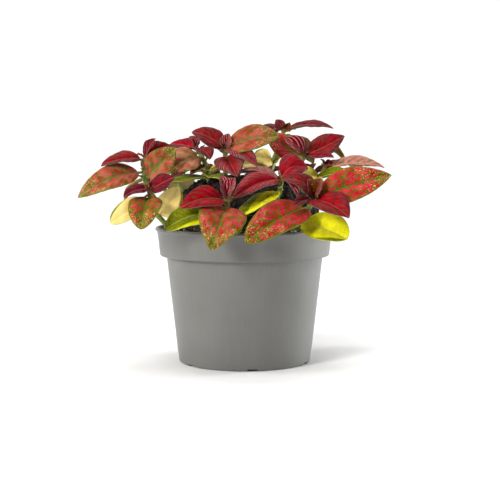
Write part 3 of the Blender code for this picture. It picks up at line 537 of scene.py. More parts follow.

# The layout gives, in millimetres, where a stem leaves the compost, the bend that it leans
# towards, its top, the share of its height where the leafy crown begins, and its leaves. A leaf
# has its kind, the share of the stem's height where it grows, its tip, its width, how far it
# bows as a share of its length, the way its face looks, and how it is marked: how green, how
# pale and how dark it is, or for a yellow leaf how creamy, how far its olive painted shade
# reaches and how speckled.
SHOOTS = {
    "left": {
        "foot": (-23, -2), "bend": (-35, -6, 56), "top": (-33, -6, 68.3), "crown": 0.6,
        "leaves": [
            ("bud", 1.0, (-29.5, -5, 75.2), 4.8, 0.06, (-0.6, -0.7, 0.2), (0.1, 0.2, 0.7)),
            ("young", 0.995, (-47, -11, 66.2), 8, 0.09, (-0.1, -0.5, 0.85), (0.15, 0.5, 0.4)),
            ("young", 0.99, (-24, 1.5, 72.3), 8, 0.14, (0.0, -0.5, 0.85), (0.1, 0.2, 0.5)),
            ("spotted", 0.82, (-54, -16, 56), 10.5, 0.13, (-0.15, -0.8, 0.6), (0.5, 0.4, 0.0)),
            ("spotted", 0.7, (-22.5, -10.5, 72.2), 10, 0.04, (0.35, -0.8, 0.45), (0.55, 0.4, 0.0)),
        ],
    },
    "front_left": {
        "foot": (-22, -10), "bend": (-30, -20, 50), "top": (-30.3, -24, 59), "crown": 0.74,
        "leaves": [
            ("bud", 1.0, (-30.2, -25, 61.6), 3.5, 0.05, (0.5, -0.6, 0.5), (0.2, 0.1, 0.7)),
            ("young", 1.0, (-38, -29, 56.8), 6.5, 0.12, (-0.2, -0.55, 0.8), (0.0, 0.15, 0.85)),
            ("young", 0.98, (-22, -27, 63.1), 7, 0.03, (0.25, -0.75, 0.6), (0.0, 0.1, 0.7)),
            ("broad", 0.86, (-32, -35.5, 47.2), 11, 0.13, (-0.1, -0.85, 0.5), (0.6, 0.1, 0.0)),
            ("yellow", 0.55, (-42.3, -27, 48.5), 9, 0.26, (0.0, -0.75, 0.65), (1.0, 0.0, 0.1)),
            ("yellow", 0.46, (-20.8, -22, 59.4), 8, 0.18, (0.2, -0.9, 0.15), (1.0, 0.0, 0.1)),
        ],
    },
    "mid_left": {
        "foot": (-12, 0), "bend": (-12.5, 0, 67), "top": (-16, 0, 71.5), "crown": 0.45,
        "leaves": [
            ("bud", 1.0, (-18.5, -2, 75.7), 4.5, 0.08, (0.7, -0.7, 0.3), (0.0, 0.5, 0.2)),
            ("bud", 1.0, (-14.8, -3, 74.7), 4.5, 0.08, (-0.7, -0.6, 0.3), (0.1, 0.5, 0.3)),
            ("young", 0.97, (-26, 11, 72.8), 8, 0.06, (-0.1, -0.5, 0.85), (0.0, 0.2, 0.4)),
            ("young", 0.97, (-11.3, -9, 68.3), 7, 0.12, (0.2, -0.5, 0.8), (0.5, 0.1, 0.6)),
            ("spotted", 0.75, (-25.7, -5.5, 63.7), 11.5, 0.14, (-0.1, -0.75, 0.65), (0.45, 0.9, 0.1)),
            ("young", 0.51, (-18, -9, 63.3), 3.4, 0.02, (0.0, -0.5, 0.8), (0.0, 0.0, 1.0)),
            ("yellow", 0.15, (-23.3, -14.5, 61.2), 6.8, 0.0, (0.0, -0.27, 1.0), (0.0, 1.1, 0.0)),
            ("yellow", 0.16, (-8.5, -10, 62), 5.5, 0.02, (0.0, -0.2, 1.0), (0.0, 1.1, 0.1)),
        ],
    },
    "centre": {
        "foot": (-6.5, 5), "bend": (-6.5, 5, 67), "top": (-6.6, 4, 71.3), "crown": 0.4,
        "leaves": [
            ("bud", 1.0, (-5.3, 3, 76.7), 5.5, 0.05, (-0.2, -0.9, 0.3), (0.35, 0.7, 0.0)),
            ("bud", 1.0, (-8.5, 3, 74.3), 4.5, 0.05, (0.6, -0.7, 0.3), (0.1, 0.4, 0.4)),
            ("young", 0.97, (-18, 5, 77.2), 9.5, 0.13, (-0.1, -0.6, 0.8), (0.15, 0.2, 0.35)),
            ("broad", 0.985, (11.3, -1, 75.8), 12.5, 0.1, (0.1, -0.7, 0.7), (0.48, 0.4, 0.25)),
            ("young", 0.95, (4.2, -8, 66), 7.5, 0.12, (0.2, -0.7, 0.7), (0.0, 0.6, 0.4)),
            ("young", 0.75, (-2.5, -11, 62.8), 11, 0.04, (-0.1, -0.7, 0.7), (0.1, 0.6, 0.2)),
        ],
    },
    "back_top": {
        "foot": (8, 15), "bend": (10, 20, 68), "top": (14, 24, 78), "crown": 0.6,
        "leaves": [
            ("bud", 1.0, (10.8, 23, 81.4), 4.8, 0.05, (-0.3, -0.9, 0.2), (0.1, 0.3, 0.5)),
            ("bud", 1.0, (15.8, 22, 80.3), 4.5, 0.05, (0.3, -0.9, 0.2), (0.5, 0.0, 0.5)),
            ("young", 0.97, (31, 20, 78.5), 7.5, 0.09, (0.0, -0.35, 1.0), (0.15, 0.5, 0.75)),
            ("young", 0.97, (7, 37, 73.4), 9, 0.2, (-0.1, 0.4, 0.9), (0.1, 0.2, 0.3)),
            ("spotted", 0.8, (25, 39, 65.5), 10, 0.14, (0.1, 0.5, 0.85), (0.5, 0.2, 0.0)),
            ("spotted", 0.8, (-6, 27, 71), 10.5, 0.18, (-0.1, 0.2, 1.0), (0.4, 0.3, 0.0)),
            ("yellow", 0.4, (3, 15, 68.3), 7.5, 0.1, (0.0, -0.8, 0.55), (0.9, 0.0, 0.0)),
            ("yellow", 0.3, (-2.5, 14, 65.6), 5.5, 0.08, (0.0, -0.7, 0.7), (1.0, 0.1, 0.0)),
        ],
    },
    "mid_right": {
        "foot": (14, 6), "bend": (18, 6, 65), "top": (20.6, 4, 69.5), "crown": 0.45,
        "leaves": [
            ("bud", 1.0, (13.3, 1, 75), 7.5, 0.1, (-0.2, -0.8, 0.6), (0.0, 0.6, 0.3)),
            ("young", 0.985, (33.8, 5, 75.9), 9.5, -0.04, (0.0, -0.75, 0.65), (0.15, 0.3, 0.35)),
            ("young", 0.96, (29.6, -5, 69), 6, 0.0, (0.1, -0.5, 0.85), (0.0, 0.3, 0.4)),
            ("spotted", 0.85, (7.3, 13, 76.8), 8.5, -0.04, (-0.2, -0.9, 0.3), (0.35, 0.1, 0.3)),
            ("spotted", 0.8, (35, 15, 67), 7.6, 0.3, (0.1, 0.2, 0.95), (0.4, 0.8, 0.0)),
        ],
    },
    "right": {
        "foot": (19, 2), "bend": (25, 2, 60), "top": (27, 1, 65), "crown": 0.84,
        "leaves": [
            ("bud", 1.0, (29, 2.5, 67.8), 3.5, 0.05, (0.5, -0.5, 0.6), (0.1, 0.2, 0.4)),
            ("young", 0.97, (47, 1, 65.4), 9.5, 0.09, (0.0, -0.35, 0.95), (0.3, 1.0, 0.0)),
            ("spotted", 0.9, (41, 14, 62.5), 9.5, 0.2, (0.2, 0.3, 0.9), (0.5, 0.4, 0.0)),
            ("yellow", 0.74, (18.6, -8, 63.3), 8.5, -0.02, (0.0, -0.8, 0.6), (0.55, 0.0, 0.0)),
            ("yellow", 0.25, (34.5, -7, 64), 5, 0.15, (0.0, -0.5, 0.85), (0.0, 0.9, 0.0)),
        ],
    },
    "front_right": {
        "foot": (16, -12), "bend": (20, -18, 50), "top": (21.8, -22, 56), "crown": 0.63,
        "leaves": [
            ("bud", 1.0, (20.2, -24.5, 62.4), 7.4, 0.05, (0.5, -0.8, 0.2), (0.5, 0.1, 0.6)),
            ("bud", 1.0, (24.6, -24, 62.5), 7.4, 0.05, (-0.5, -0.8, 0.2), (0.4, 0.3, 0.6)),
            ("young", 0.98, (12.2, -23, 62.2), 8, 0.32, (-0.1, -0.6, 0.8), (0.1, 0.3, 0.5)),
            ("young", 0.95, (32.6, -35, 50.8), 12.5, 0.1, (0.2, -0.75, 0.6), (0.12, 0.1, 0.2)),
            ("young", 0.93, (16, -30, 54), 5.5, 0.12, (-0.2, -0.7, 0.6), (0.1, 0.2, 0.8)),
            ("spotted", 0.88, (46.9, -23, 63.6), 12.5, 0.1, (0.0, -0.85, 0.5), (0.45, 0.05, 0.0)),
            ("broad", 0.78, (0.6, -38.3, 43.3), 14, 0.08, (-0.15, -0.75, 0.6), (0.45, 0.0, 0.18)),
            ("yellow", 0.36, (32.2, -32, 43.9), 12.5, 0.05, (0.1, -0.85, 0.5), (0.05, 0.0, 0.3)),
        ],
    },
    "inner_right": {
        "foot": (10, -9), "bend": (12, -10, 57), "top": (12, -12, 62), "crown": 0.72,
        "leaves": [
            ("young", 0.98, (20.8, -13, 65.5), 11, 0.38, (-0.1, -0.75, 0.65), (0.05, 0.35, 0.3)),
            ("young", 0.96, (-3.5, -24, 56), 10.5, 0.1, (-0.2, -0.6, 0.75), (0.05, 0.55, 0.1)),
            ("bud", 1.0, (17, -20, 56.5), 5, 0.15, (0.3, -0.5, 0.7), (0.0, 0.5, 0.5)),
            ("young", 0.9, (-1, -5, 64.5), 5, 0.12, (0.0, -0.35, 0.9), (0.2, 0.8, 0.0)),
            ("yellow", 0.61, (-0.7, -28, 51.1), 9.5, 0.0, (-0.35, -0.55, 0.7), (0.0, 0.33, 1.0)),
        ],
    },
    "front": {
        "foot": (-4, -14), "bend": (-5, -23, 48), "top": (-5.5, -26, 56), "crown": 0.66,
        "leaves": [
            ("bud", 1.0, (-7.6, -26.5, 63.4), 6.5, 0.08, (0.5, -0.8, 0.2), (0.0, 0.6, 0.2)),
            ("bud", 1.0, (-2.9, -26.5, 62.9), 6.5, 0.08, (-0.5, -0.8, 0.2), (0.0, 0.6, 0.3)),
            ("young", 0.97, (-20.2, -31, 53.5), 10, 0.16, (-0.1, -0.7, 0.7), (0.15, 0.0, 0.0)),
            ("heart", 0.84, (-10.2, -40, 41), 15.5, 0.14, (0.05, -0.85, 0.5), (0.5, 0.2, 0.0)),
            ("yellow", 0.5, (-25, -28, 46.6), 10.5, 0.2, (-0.1, -0.7, 0.7), (0.0, 0.84, 0.0)),
            ("yellow", 0.5, (-2.2, -32, 45.5), 6, 0.2, (0.2, -0.8, 0.4), (0.0, 1.1, 0.1)),
        ],
    },
    "back_left": {
        "foot": (-19, 19), "bend": (-23, 25, 54), "top": (-24, 27, 61), "crown": 0.6,
        "leaves": [
            ("bud", 1.0, (-25, 28, 66), 4.5, 0.05, (0.5, 0.5, 0.5), (0.0, 0.5, 0.3)),
            ("bud", 1.0, (-21.5, 27, 65.5), 4.5, 0.05, (-0.6, -0.3, 0.5), (0.2, 0.4, 0.3)),
            ("young", 0.97, (-36, 34, 60), 8.5, 0.24, (-0.3, 0.4, 0.85), (0.1, 0.2, 0.3)),
            ("young", 0.97, (-13, 33, 62), 8.5, 0.22, (0.2, 0.4, 0.85), (0.0, 0.2, 0.2)),
            ("spotted", 0.85, (-42, 19, 57), 10.5, 0.14, (-0.4, 0.0, 0.9), (0.5, 0.2, 0.0)),
            ("spotted", 0.85, (-23, 44, 51), 11.5, 0.2, (-0.1, 0.75, 0.65), (0.6, 0.2, 0.0)),
            ("yellow", 0.36, (-34, 26, 47), 9, 0.2, (-0.5, 0.4, 0.75), (0.3, 0.2, 0.1)),
        ],
    },
    "back": {
        "foot": (-3, 24.5), "bend": (-3, 30, 52), "top": (-3, 33, 58), "crown": 0.64,
        "leaves": [
            ("bud", 1.0, (-5.5, 33, 63), 5, 0.08, (0.7, 0.6, 0.3), (0.0, 0.5, 0.2)),
            ("bud", 1.0, (-1, 34, 63.5), 5, 0.08, (-0.7, 0.6, 0.3), (0.0, 0.5, 0.3)),
            ("young", 0.97, (-14, 40, 56), 9, 0.26, (-0.2, 0.6, 0.75), (0.1, 0.1, 0.3)),
            ("young", 0.97, (10, 39, 57), 9, 0.24, (0.2, 0.6, 0.75), (0.0, 0.2, 0.2)),
            ("spotted", 0.84, (-5, 50, 46), 13.5, 0.2, (0.0, 0.8, 0.55), (0.5, 0.1, 0.0)),
            ("yellow", 0.4, (8, 36, 45.5), 8.5, 0.2, (0.2, 0.7, 0.6), (0.2, 0.1, 0.1)),
        ],
    },
    "back_right": {
        "foot": (18, 20), "bend": (22, 26, 54), "top": (23, 29, 61), "crown": 0.62,
        "leaves": [
            ("bud", 1.0, (21.5, 30, 66), 4.5, 0.05, (0.7, 0.4, 0.4), (0.1, 0.4, 0.3)),
            ("bud", 1.0, (25.3, 29, 66), 4.5, 0.05, (-0.7, -0.2, 0.4), (0.3, 0.3, 0.3)),
            ("young", 0.97, (13.5, 36, 63.5), 8, 0.22, (-0.2, 0.5, 0.85), (0.0, 0.2, 0.4)),
            ("young", 0.97, (34, 33, 61), 8.5, 0.24, (0.3, 0.4, 0.85), (0.1, 0.2, 0.3)),
            ("spotted", 0.86, (44, 23, 59), 11, 0.14, (0.3, 0.1, 0.9), (0.5, 0.2, 0.0)),
            ("spotted", 0.82, (22, 47, 51), 12, 0.2, (0.1, 0.75, 0.65), (0.45, 0.1, 0.1)),
            ("yellow", 0.36, (33, 33, 48), 9, 0.2, (0.4, 0.5, 0.75), (0.4, 0.1, 0.1)),
        ],
    },
    "rear_left": {
        "foot": (-12, 15.5), "bend": (-12, 19, 60), "top": (-12.5, 20.5, 63), "crown": 0.45,
        "leaves": [
            ("bud", 1.0, (-13, 22, 66), 4, 0.05, (0.5, 0.5, 0.5), (0.1, 0.4, 0.3)),
            ("young", 0.97, (-23, 13, 62), 8, 0.2, (-0.1, -0.1, 1.0), (0.0, 0.2, 0.3)),
            ("young", 0.95, (0, 15.5, 63), 9, 0.16, (0.0, 0.0, 1.0), (0.1, 0.3, 0.3)),
            ("spotted", 0.9, (-11, 8.5, 63.3), 8, 0.1, (0.0, 0.0, 1.0), (0.5, 0.3, 0.0)),
            ("spotted", 0.85, (-11.5, 33.5, 56), 7.5, 0.16, (0.0, 0.4, 0.9), (0.5, 0.2, 0.0)),
        ],
    },
    "rear": {
        "foot": (6, 22), "bend": (7, 25, 57), "top": (7, 26.5, 61.5), "crown": 0.5,
        "leaves": [
            ("bud", 1.0, (7, 28, 65), 4, 0.05, (0.5, 0.5, 0.5), (0.2, 0.3, 0.3)),
            ("young", 0.97, (-4.5, 24, 61.6), 8.5, 0.14, (0.0, 0.1, 1.0), (0.0, 0.2, 0.3)),
            ("young", 0.95, (17, 19, 62), 8, 0.2, (0.1, 0.0, 1.0), (0.1, 0.2, 0.3)),
            ("spotted", 0.85, (13, 38, 53), 9, 0.2, (0.2, 0.6, 0.75), (0.5, 0.2, 0.0)),
        ],
    },
    "flank_left": {
        "foot": (-22, 9), "bend": (-27, 12, 55), "top": (-29, 12.5, 60), "crown": 0.5,
        "leaves": [
            ("bud", 1.0, (-29.5, 14, 64), 4, 0.05, (0.5, 0.5, 0.5), (0.1, 0.4, 0.3)),
            ("young", 0.95, (-33, 2.5, 60.5), 7, 0.2, (-0.2, 0.0, 1.0), (0.0, 0.2, 0.4)),
            ("spotted", 0.85, (-42, 11, 53), 10, 0.18, (-0.4, 0.1, 0.9), (0.5, 0.2, 0.0)),
        ],
    },
}


class Stem:
    """The curved stem of one shoot, from its root in the compost to its top."""

    def __init__(self, layout):
        foot_x, foot_y = (value * MM for value in layout["foot"])
        self.top = Vector(layout["top"]) * MM
        self.bend = Vector(layout["bend"]) * MM
        self.foot = Vector((foot_x, foot_y, soil_height(foot_x, foot_y)))
        into = (self.foot - self.bend).normalized() + Vector((0.0, 0.0, -ROOTING_PULL))
        self.root = self.foot + into.normalized() * ROOTING_DEPTH
        self.joints = sorted({leaf[1] for leaf in layout["leaves"]})
        self.length = (self.top - self.bend).length + (self.bend - self.foot).length

    def point(self, share):
        """A place on the stem, 0 where it leaves the compost and 1 at its top."""
        if share < 0:
            return self.foot.lerp(self.root, -share)
        if share > 1:
            return self.top + (self.top - self.bend).normalized() * (share - 1) * self.length
        rest = 1.0 - share
        return self.foot * rest ** 2 + self.bend * 2 * rest * share + self.top * share ** 2

    def radius(self, share):
        """Its thickness from the middle line, swollen at each joint."""
        plain = STEM_RADIUS_LOW + (STEM_RADIUS_TOP - STEM_RADIUS_LOW) * min(max(share, 0.0), 1.0)
        swell = sum(math.exp(-((share - joint) / JOINT_LENGTH) ** 2) for joint in self.joints)
        return plain * (1 + JOINT_SWELL * min(swell, 1.0))


def new_growth():
    """An empty bmesh that holds what the plant's finishes read at each point."""
    bm = bmesh.new()
    for name in ("blade", "blade_mm", "marks"):
        bm.verts.layers.float_vector.new(name)
    for name in ("youth", "underside"):
        bm.verts.layers.float.new(name)
    return bm


def join(bm, form, slot):
    """Adds one finished form to a growth, in its own material slot."""
    for face in form.faces:
        face.material_index = slot
    bmesh.ops.recalc_face_normals(form, faces=form.faces[:])
    mesh = bpy.data.meshes.new("form")
    form.to_mesh(mesh)
    form.free()
    bm.from_mesh(mesh)
    bpy.data.meshes.remove(mesh)


def grow_tube(bm, points, radii, sides, youth, slot=0):
    """A closed round tube through the points."""
    form = new_growth()
    youth_layer = form.verts.layers.float["youth"]
    rings = []
    for index, (point, radius) in enumerate(zip(points, radii)):
        before = points[max(index - 1, 0)]
        after = points[min(index + 1, len(points) - 1)]
        turn = (after - before).to_track_quat("Z", "Y").to_matrix().to_4x4()
        ring = bmesh.ops.create_circle(
            form, segments=sides, radius=radius, matrix=Matrix.Translation(point) @ turn
        )["verts"]
        for vert in ring:
            vert[youth_layer] = youth(index / (len(points) - 1))
        rings.append(ring)
    loops = [{edge for vert in ring for edge in vert.link_edges} for ring in rings]
    for lower, upper in zip(loops, loops[1:]):
        bmesh.ops.bridge_loops(form, edges=list(lower | upper))
    bmesh.ops.holes_fill(form, edges=list(loops[0] | loops[-1]), sides=sides)
    join(bm, form, slot)


def grow_stem(bm, stem, start, end):
    """The stretch of stem between two shares of its height, in the first material slot."""
    count = max(4, round(STEM_STEPS * (end - max(start, 0.0))))
    low = max(start, 0.0)
    shares = [low + (end - low) * step / count for step in range(count + 1)]
    if start < 0:
        shares = [-1.0, -0.5] + shares
    points = [stem.point(share) for share in shares]
    radii = [stem.radius(share) for share in shares]
    if end == 1.0:
        tip = (stem.top - stem.bend).normalized()
        points += [stem.top + tip * TIP_REACH * 0.6, stem.top + tip * TIP_REACH]
        radii += [STEM_RADIUS_TOP * 0.75, STEM_RADIUS_TOP * 0.3]
    grow_tube(bm, points, radii, STEM_SIDES, lambda along: low + (end - low) * along)


def green_stem():
    """Fleshy green with paler streaks, flushed red where the growth is young."""
    finish = Finish("green_stem")
    place = finish.object_place
    youth = finish.own("youth", "Fac")
    streak = finish.noise(finish.moved(place, (1, 1, 0.15)), 1500, 3)
    patch = finish.noise(place, 260, 2)
    green = finish.ramp(streak, 0.35, 0.68, (0.08, 0.14, 0.015), (0.24, 0.31, 0.06))
    green = finish.over(green, (0.3, 0.31, 0.1), finish.step(patch, 0.4, 0.7))
    flush = finish.mix(streak, (0.12, 0.025, 0.02), (0.26, 0.09, 0.06))
    redness = finish.step(finish.total((patch, 0.3), start=youth), 0.85, 1.1)
    colour = finish.over(green, flush, redness, 0.75)
    return finish.surface(colour, 0.42, streak, 0.04, 0.6)


# A leaf is one thin ovate blade on a short stalk, folded a little along its sunken midrib and
# quilted between the side veins that leave it in pairs. The stalk runs on under the blade as a
# round rib. Buds are young leaves still folded, and the tufts between them are their newest.
KINDS = {
    "bud": {"fold": 38, "rows": 26, "columns": 12, "base": 0.7, "tip": 0.8, "slot": 3,
            "pillow": 0.05, "slant": 2.6},
    "young": {"fold": 20, "rows": 44, "columns": 18, "base": 0.52, "tip": 0.85, "slot": 1,
              "pillow": 0.14, "slant": 1.5},
    "spotted": {"fold": 13, "rows": 54, "columns": 22, "base": 0.55, "tip": 0.85, "slot": 2,
                "pillow": 0.12, "slant": 1.35},
    "broad": {"fold": 13, "rows": 54, "columns": 22, "base": 0.36, "tip": 0.6, "slot": 2,
              "pillow": 0.12, "slant": 1.35},
    "heart": {"fold": 13, "rows": 54, "columns": 22, "base": 0.36, "tip": 0.82, "slot": 2,
              "pillow": 0.12, "slant": 1.35},
    "yellow": {"fold": 16, "rows": 44, "columns": 18, "base": 0.5, "tip": 0.55, "slot": 1,
               "pillow": 0.1, "slant": 1.2},
    "tuft": {"fold": 30, "rows": 12, "columns": 6, "base": 0.6, "tip": 0.8, "slot": 3,
             "pillow": 0.05, "slant": 1.6},
    "side": {"fold": 24, "rows": 14, "columns": 8, "base": 0.6, "tip": 0.8, "slot": 2,
             "pillow": 0.08, "slant": 1.4},
}
TUFT_LEAVES = 4                   # newest leaves at the tip of a stem
TUFT_REACH = 2.6                  # millimetres
TUFT_JITTER = 0.4                 # how far one strays from its even place around, in radians
TUFT_SIZES = (0.7, 1.25)
TUFT_OUTWARD = (0.75, 1.0)
TUFT_UPWARD = (0.35, 0.9)
TUFT_WIDTHS = (0.42, 0.6)
TUFT_BOW = 0.16
SIDE_LEAVES = 2
SIDE_REACH = 3.6                  # of the small leaves in the joints lower down
SIDE_HIGHEST = 0.93               # share of the stem above which a joint has none
LAYOUT_SEED = 11
WAVE_PHASES = (0.4, 2.6)
PETIOLE_SHARE = 0.1
MARGIN_WAVE = 0.3 * MM
FINE_WAVE = 0.05 * MM
FOLD_SOFTNESS = 0.3 * MM          # how rounded the fold along the midrib is
BLADE_THICKNESS = 0.34 * MM
MARGIN_THICKNESS = 0.18 * MM
BLADE_MERGE = 0.015 * MM
VEIN_SPACING = 3.0 * MM
QUILT = 0.15 * MM
QUILT_HALF = 3.0 * MM             # a blade whose half is narrower than this has less of it
GROOVE = 0.16 * MM
GROOVE_WIDTH = 0.5 * MM
RIB_RADIUS = 0.46 * MM
RIB_SIDES = 8
RIB_STEPS = 14
RIB_END = 0.93                    # share of the leaf's length where the rib ends
STALK_END = 0.12                  # and where the thicker stalk does
RIB_SLIMMER = 0.86                # thickness of the rib, as a share of the stalk's
RIB_SUNK = 0.55                   # how far it stands out under the blade, in its own radii
RIB_TIP_RADIUS = 0.06 * MM
RIB_OF_WIDTH = 0.09               # a narrow leaf has a thinner stalk
RIB_LEAST = 0.15 * MM
OLD_YOUTH = 0.2                   # how red a stalk is flushed, for an old leaf and the others
YOUNG_YOUTH = 0.75
LEAF_GLOSS = 0.04                 # how strongly a blade mirrors the lamps
SHADED_HALF = -0.5                   # how much further olive painted shade reaches over one half of a leaf


class Leaf:
    """Where one leaf lies, and how its blade folds and ripples about its midrib."""

    def __init__(self, base, kind, tip, width, bow, face, wave_phase):
        self.base = base
        self.kind = kind
        span = Vector(tip) * MM - base
        self.length = span.length
        self.along = span.normalized()
        face = Vector(face)
        self.up = (face - self.along * self.along.dot(face)).normalized()
        self.across = self.up.cross(self.along)
        self.width = width * MM
        self.bow = bow
        self.wave_phase = wave_phase
        self.fold = math.radians(KINDS[kind]["fold"])
        self.veins = max(3, round(self.length / VEIN_SPACING))

    def half(self, share):
        """Half the width of the blade at a share of the leaf's length."""
        base, tip = KINDS[self.kind]["base"], KINDS[self.kind]["tip"]
        blade = min(max((share - PETIOLE_SHARE) / (1.0 - PETIOLE_SHARE), 0.0), 1.0)
        peak = base / (base + tip)
        tallest = peak ** base * (1.0 - peak) ** tip
        return self.width / 2 * blade ** base * (1.0 - blade) ** tip / tallest

    def rib(self, share):
        """The line of the midrib."""
        rise = self.bow * self.length * 4 * share * (1 - share)
        return self.base + self.along * self.length * share + self.up * rise

    def normal(self, share):
        """The way the upper face looks at the midrib."""
        slope = (self.along + self.up * self.bow * 4 * (1 - 2 * share)).normalized()
        return slope.cross(self.across)

    def vein_count(self, share, side):
        """How many side veins lie between here and the stalk. A whole number is on a vein."""
        shift = 0.3 if side > 0 else 0.0
        slant = KINDS[self.kind]["slant"] * self.width / 2 / self.length
        forward = slant * abs(side) ** 1.2 * (1.2 - 0.5 * share)
        return (share - forward) * self.veins + shift

    def place(self, share, side, level):
        """A point of the blade: level 0 is its upper face and 1 its lower."""
        half = self.half(share)
        out = abs(side) * half
        bent = math.hypot(out, FOLD_SOFTNESS) - FOLD_SOFTNESS
        wave = MARGIN_WAVE * math.sin(3 * math.pi * share + self.wave_phase * side)
        wave *= side * side * 2 * half / self.width
        ripple = FINE_WAVE * math.sin(math.tau * self.vein_count(share, side)) * side ** 4
        quilt = QUILT * (1 - math.cos(math.tau * self.vein_count(share, side))) / 2
        quilt *= 4 * abs(side) * (1 - abs(side)) * min(1.0, half / QUILT_HALF)
        groove = GROOVE * math.exp(-(out / GROOVE_WIDTH) ** 2)
        thick = MARGIN_THICKNESS + (BLADE_THICKNESS - MARGIN_THICKNESS) * (1 - side * side)
        pillow = KINDS[self.kind]["pillow"] * half * (1.6 * abs(side) - 2.4 * abs(side) ** 3)
        lift = bent * math.sin(self.fold) + pillow + wave + ripple + quilt - groove + thick / 2
        span = self.across * side * half * math.cos(self.fold)
        return self.rib(share) + span + self.normal(share) * (lift - level * thick)


def grow_blade(bm, leaf, marks, seed, slot):
    """The blade: a slab of grid laid out flat, then each point moved to its place."""
    form = new_growth()
    kind = KINDS[leaf.kind]
    bmesh.ops.create_grid(form, x_segments=kind["rows"], y_segments=kind["columns"], size=1.0)
    bmesh.ops.solidify(form, geom=form.faces[:], thickness=1.0)
    layers = form.verts.layers
    for vert in form.verts:
        even = (vert.co.x + 1.0) / 2
        eased = (even + 0.5 - 0.5 * math.cos(math.pi * even)) / 2
        share = PETIOLE_SHARE + (1.0 - PETIOLE_SHARE) * eased
        side = vert.co.y
        level = -vert.co.z
        half = leaf.half(share)
        vert[layers.float_vector["blade"]] = (share, side, leaf.vein_count(share, side))
        vert[layers.float_vector["blade_mm"]] = (
            share * leaf.length / MM, side * half / MM, seed
        )
        vert[layers.float_vector["marks"]] = marks
        vert[layers.float["underside"]] = level
        vert.co = leaf.place(share, side, level)
    bmesh.ops.remove_doubles(form, verts=form.verts[:], dist=BLADE_MERGE)
    join(bm, form, slot)


def grow_rib(bm, leaf, start_radius, youth):
    """The stalk, and the rib that it runs on into under the blade."""
    points, radii = [], []
    for step in range(RIB_STEPS + 1):
        share = RIB_END * step / RIB_STEPS
        radius = start_radius * (1 - share) ** 0.8 * (1.0 if share < STALK_END else RIB_SLIMMER)
        under = radius * RIB_SUNK if share > PETIOLE_SHARE / 2 else 0.0
        points.append(leaf.rib(share) - leaf.normal(share) * (under + GROOVE / 2))
        radii.append(max(radius, RIB_TIP_RADIUS))
    grow_tube(bm, points, radii, RIB_SIDES, lambda along: youth)


class LeafFinish(Finish):
    """A finish that follows the veins of the blades."""

    def __init__(self, name):
        super().__init__(name)
        self.place = self.own("blade_mm")
        self.share, side, count = self.parts(self.own("blade"))
        across, self.seed = self.parts(self.place)[1:]
        self.out = self.math("ABSOLUTE", side)
        self.from_midrib = self.math("ABSOLUTE", across)
        self.under = self.own("underside", "Fac")
        self.count = count
        parts = {
            0: self.math("MULTIPLY", count, VEIN_SPACING / MM),
            1: self.math("MULTIPLY", across, 0.38),
            2: self.seed,
        }
        self.along_veins = self.node("CombineXYZ", parts).outputs[0]

    def near_vein(self, times=1):
        """1 on a side vein and 0 midway to the next, with as many times the veins."""
        count = self.math("MULTIPLY", self.count, times)
        away = self.math("PINGPONG", count, 0.5)
        return self.math("MULTIPLY_ADD", away, -2.0, 1.0)


def young_leaf():
    """Crimson, dusky towards the margin, with ash and green streaks along the veins."""
    finish = LeafFinish("young_leaf")
    green, pale, dark = finish.parts(finish.own("marks"))
    broad = finish.noise(finish.place, 0.4, 2)
    mottle = finish.noise(finish.place, 2.0, 3, 0.6)
    streak = finish.noise(finish.along_veins, 1.3, 3, 0.6)
    thin = finish.noise(finish.along_veins, 3.4, 2, 0.6)
    red = finish.ramp(broad, 0.35, 0.65, (0.24, 0.0, 0.008), (0.42, 0.001, 0.014))
    red = finish.over(red, (0.11, 0.002, 0.007), finish.step(thin, 0.45, 0.68))
    dusky = finish.ramp(mottle, 0.3, 0.7, (0.05, 0.003, 0.008), (0.15, 0.01, 0.02))
    edge = finish.total((finish.out, 0.4), (finish.share, 0.15), (streak, 1.3), (dark, 0.45))
    red = finish.over(red, dusky, finish.step(edge, 1.0, 1.26))
    # Painted shade: dark lines laid along the sunken side veins, as their shadow.
    red = finish.over(red, (0.13, 0.002, 0.008), finish.step(finish.near_vein(), 0.72, 0.95), 0.5)
    ash = finish.mix(mottle, (0.2, 0.05, 0.06), (0.38, 0.19, 0.17))
    faded = finish.ramp(thin, 0.4, 0.6, (0.5, 0.12, 0.12), (0.5, 0.34, 0.2))
    ash = finish.over(ash, faded, finish.step(pale, 0.8, 1.0))
    rows = finish.total((finish.near_vein(2), 0.3), (finish.step(pale, 0.4, 1.0), 0.3), start=thin)
    spread = finish.total((finish.step(pale, 0.6, 1.0), 0.6), start=finish.out)
    red = finish.over(red, ash, finish.step(rows, 0.66, 0.82), finish.step(spread, 0.1, 0.7),
                      pale, 1.3)
    greener = finish.step(finish.total((broad, 0.3), start=green), 0.16, 0.28)
    red = finish.over(red, (0.045, 0.065, 0.008), finish.step(thin, 0.53, 0.57),
                      finish.step(finish.near_vein(), 0.4, 0.7), greener, 0.9)
    spot = finish.dots(finish.place, 1.5, (0.34, 0.24), (0.66, 0.72))[0]
    red = finish.over(red, (0.06, 0.035, 0.012), spot, 0.6)
    red = finish.over(red, (0.3, 0.14, 0.12), finish.step(finish.from_midrib, 0.2, 0.08), 0.55)
    red = finish.over(red, (0.14, 0.07, 0.06), finish.step(finish.out, 0.955, 0.985))
    red = finish.over(red, (0.2, 0.09, 0.08), finish.under, 0.6)
    height = finish.total((thin, 0.6), start=finish.step(finish.near_vein(), 1.0, 0.75))
    return finish.surface(red, 0.42, height, 0.09, 0.6, LEAF_GLOSS)


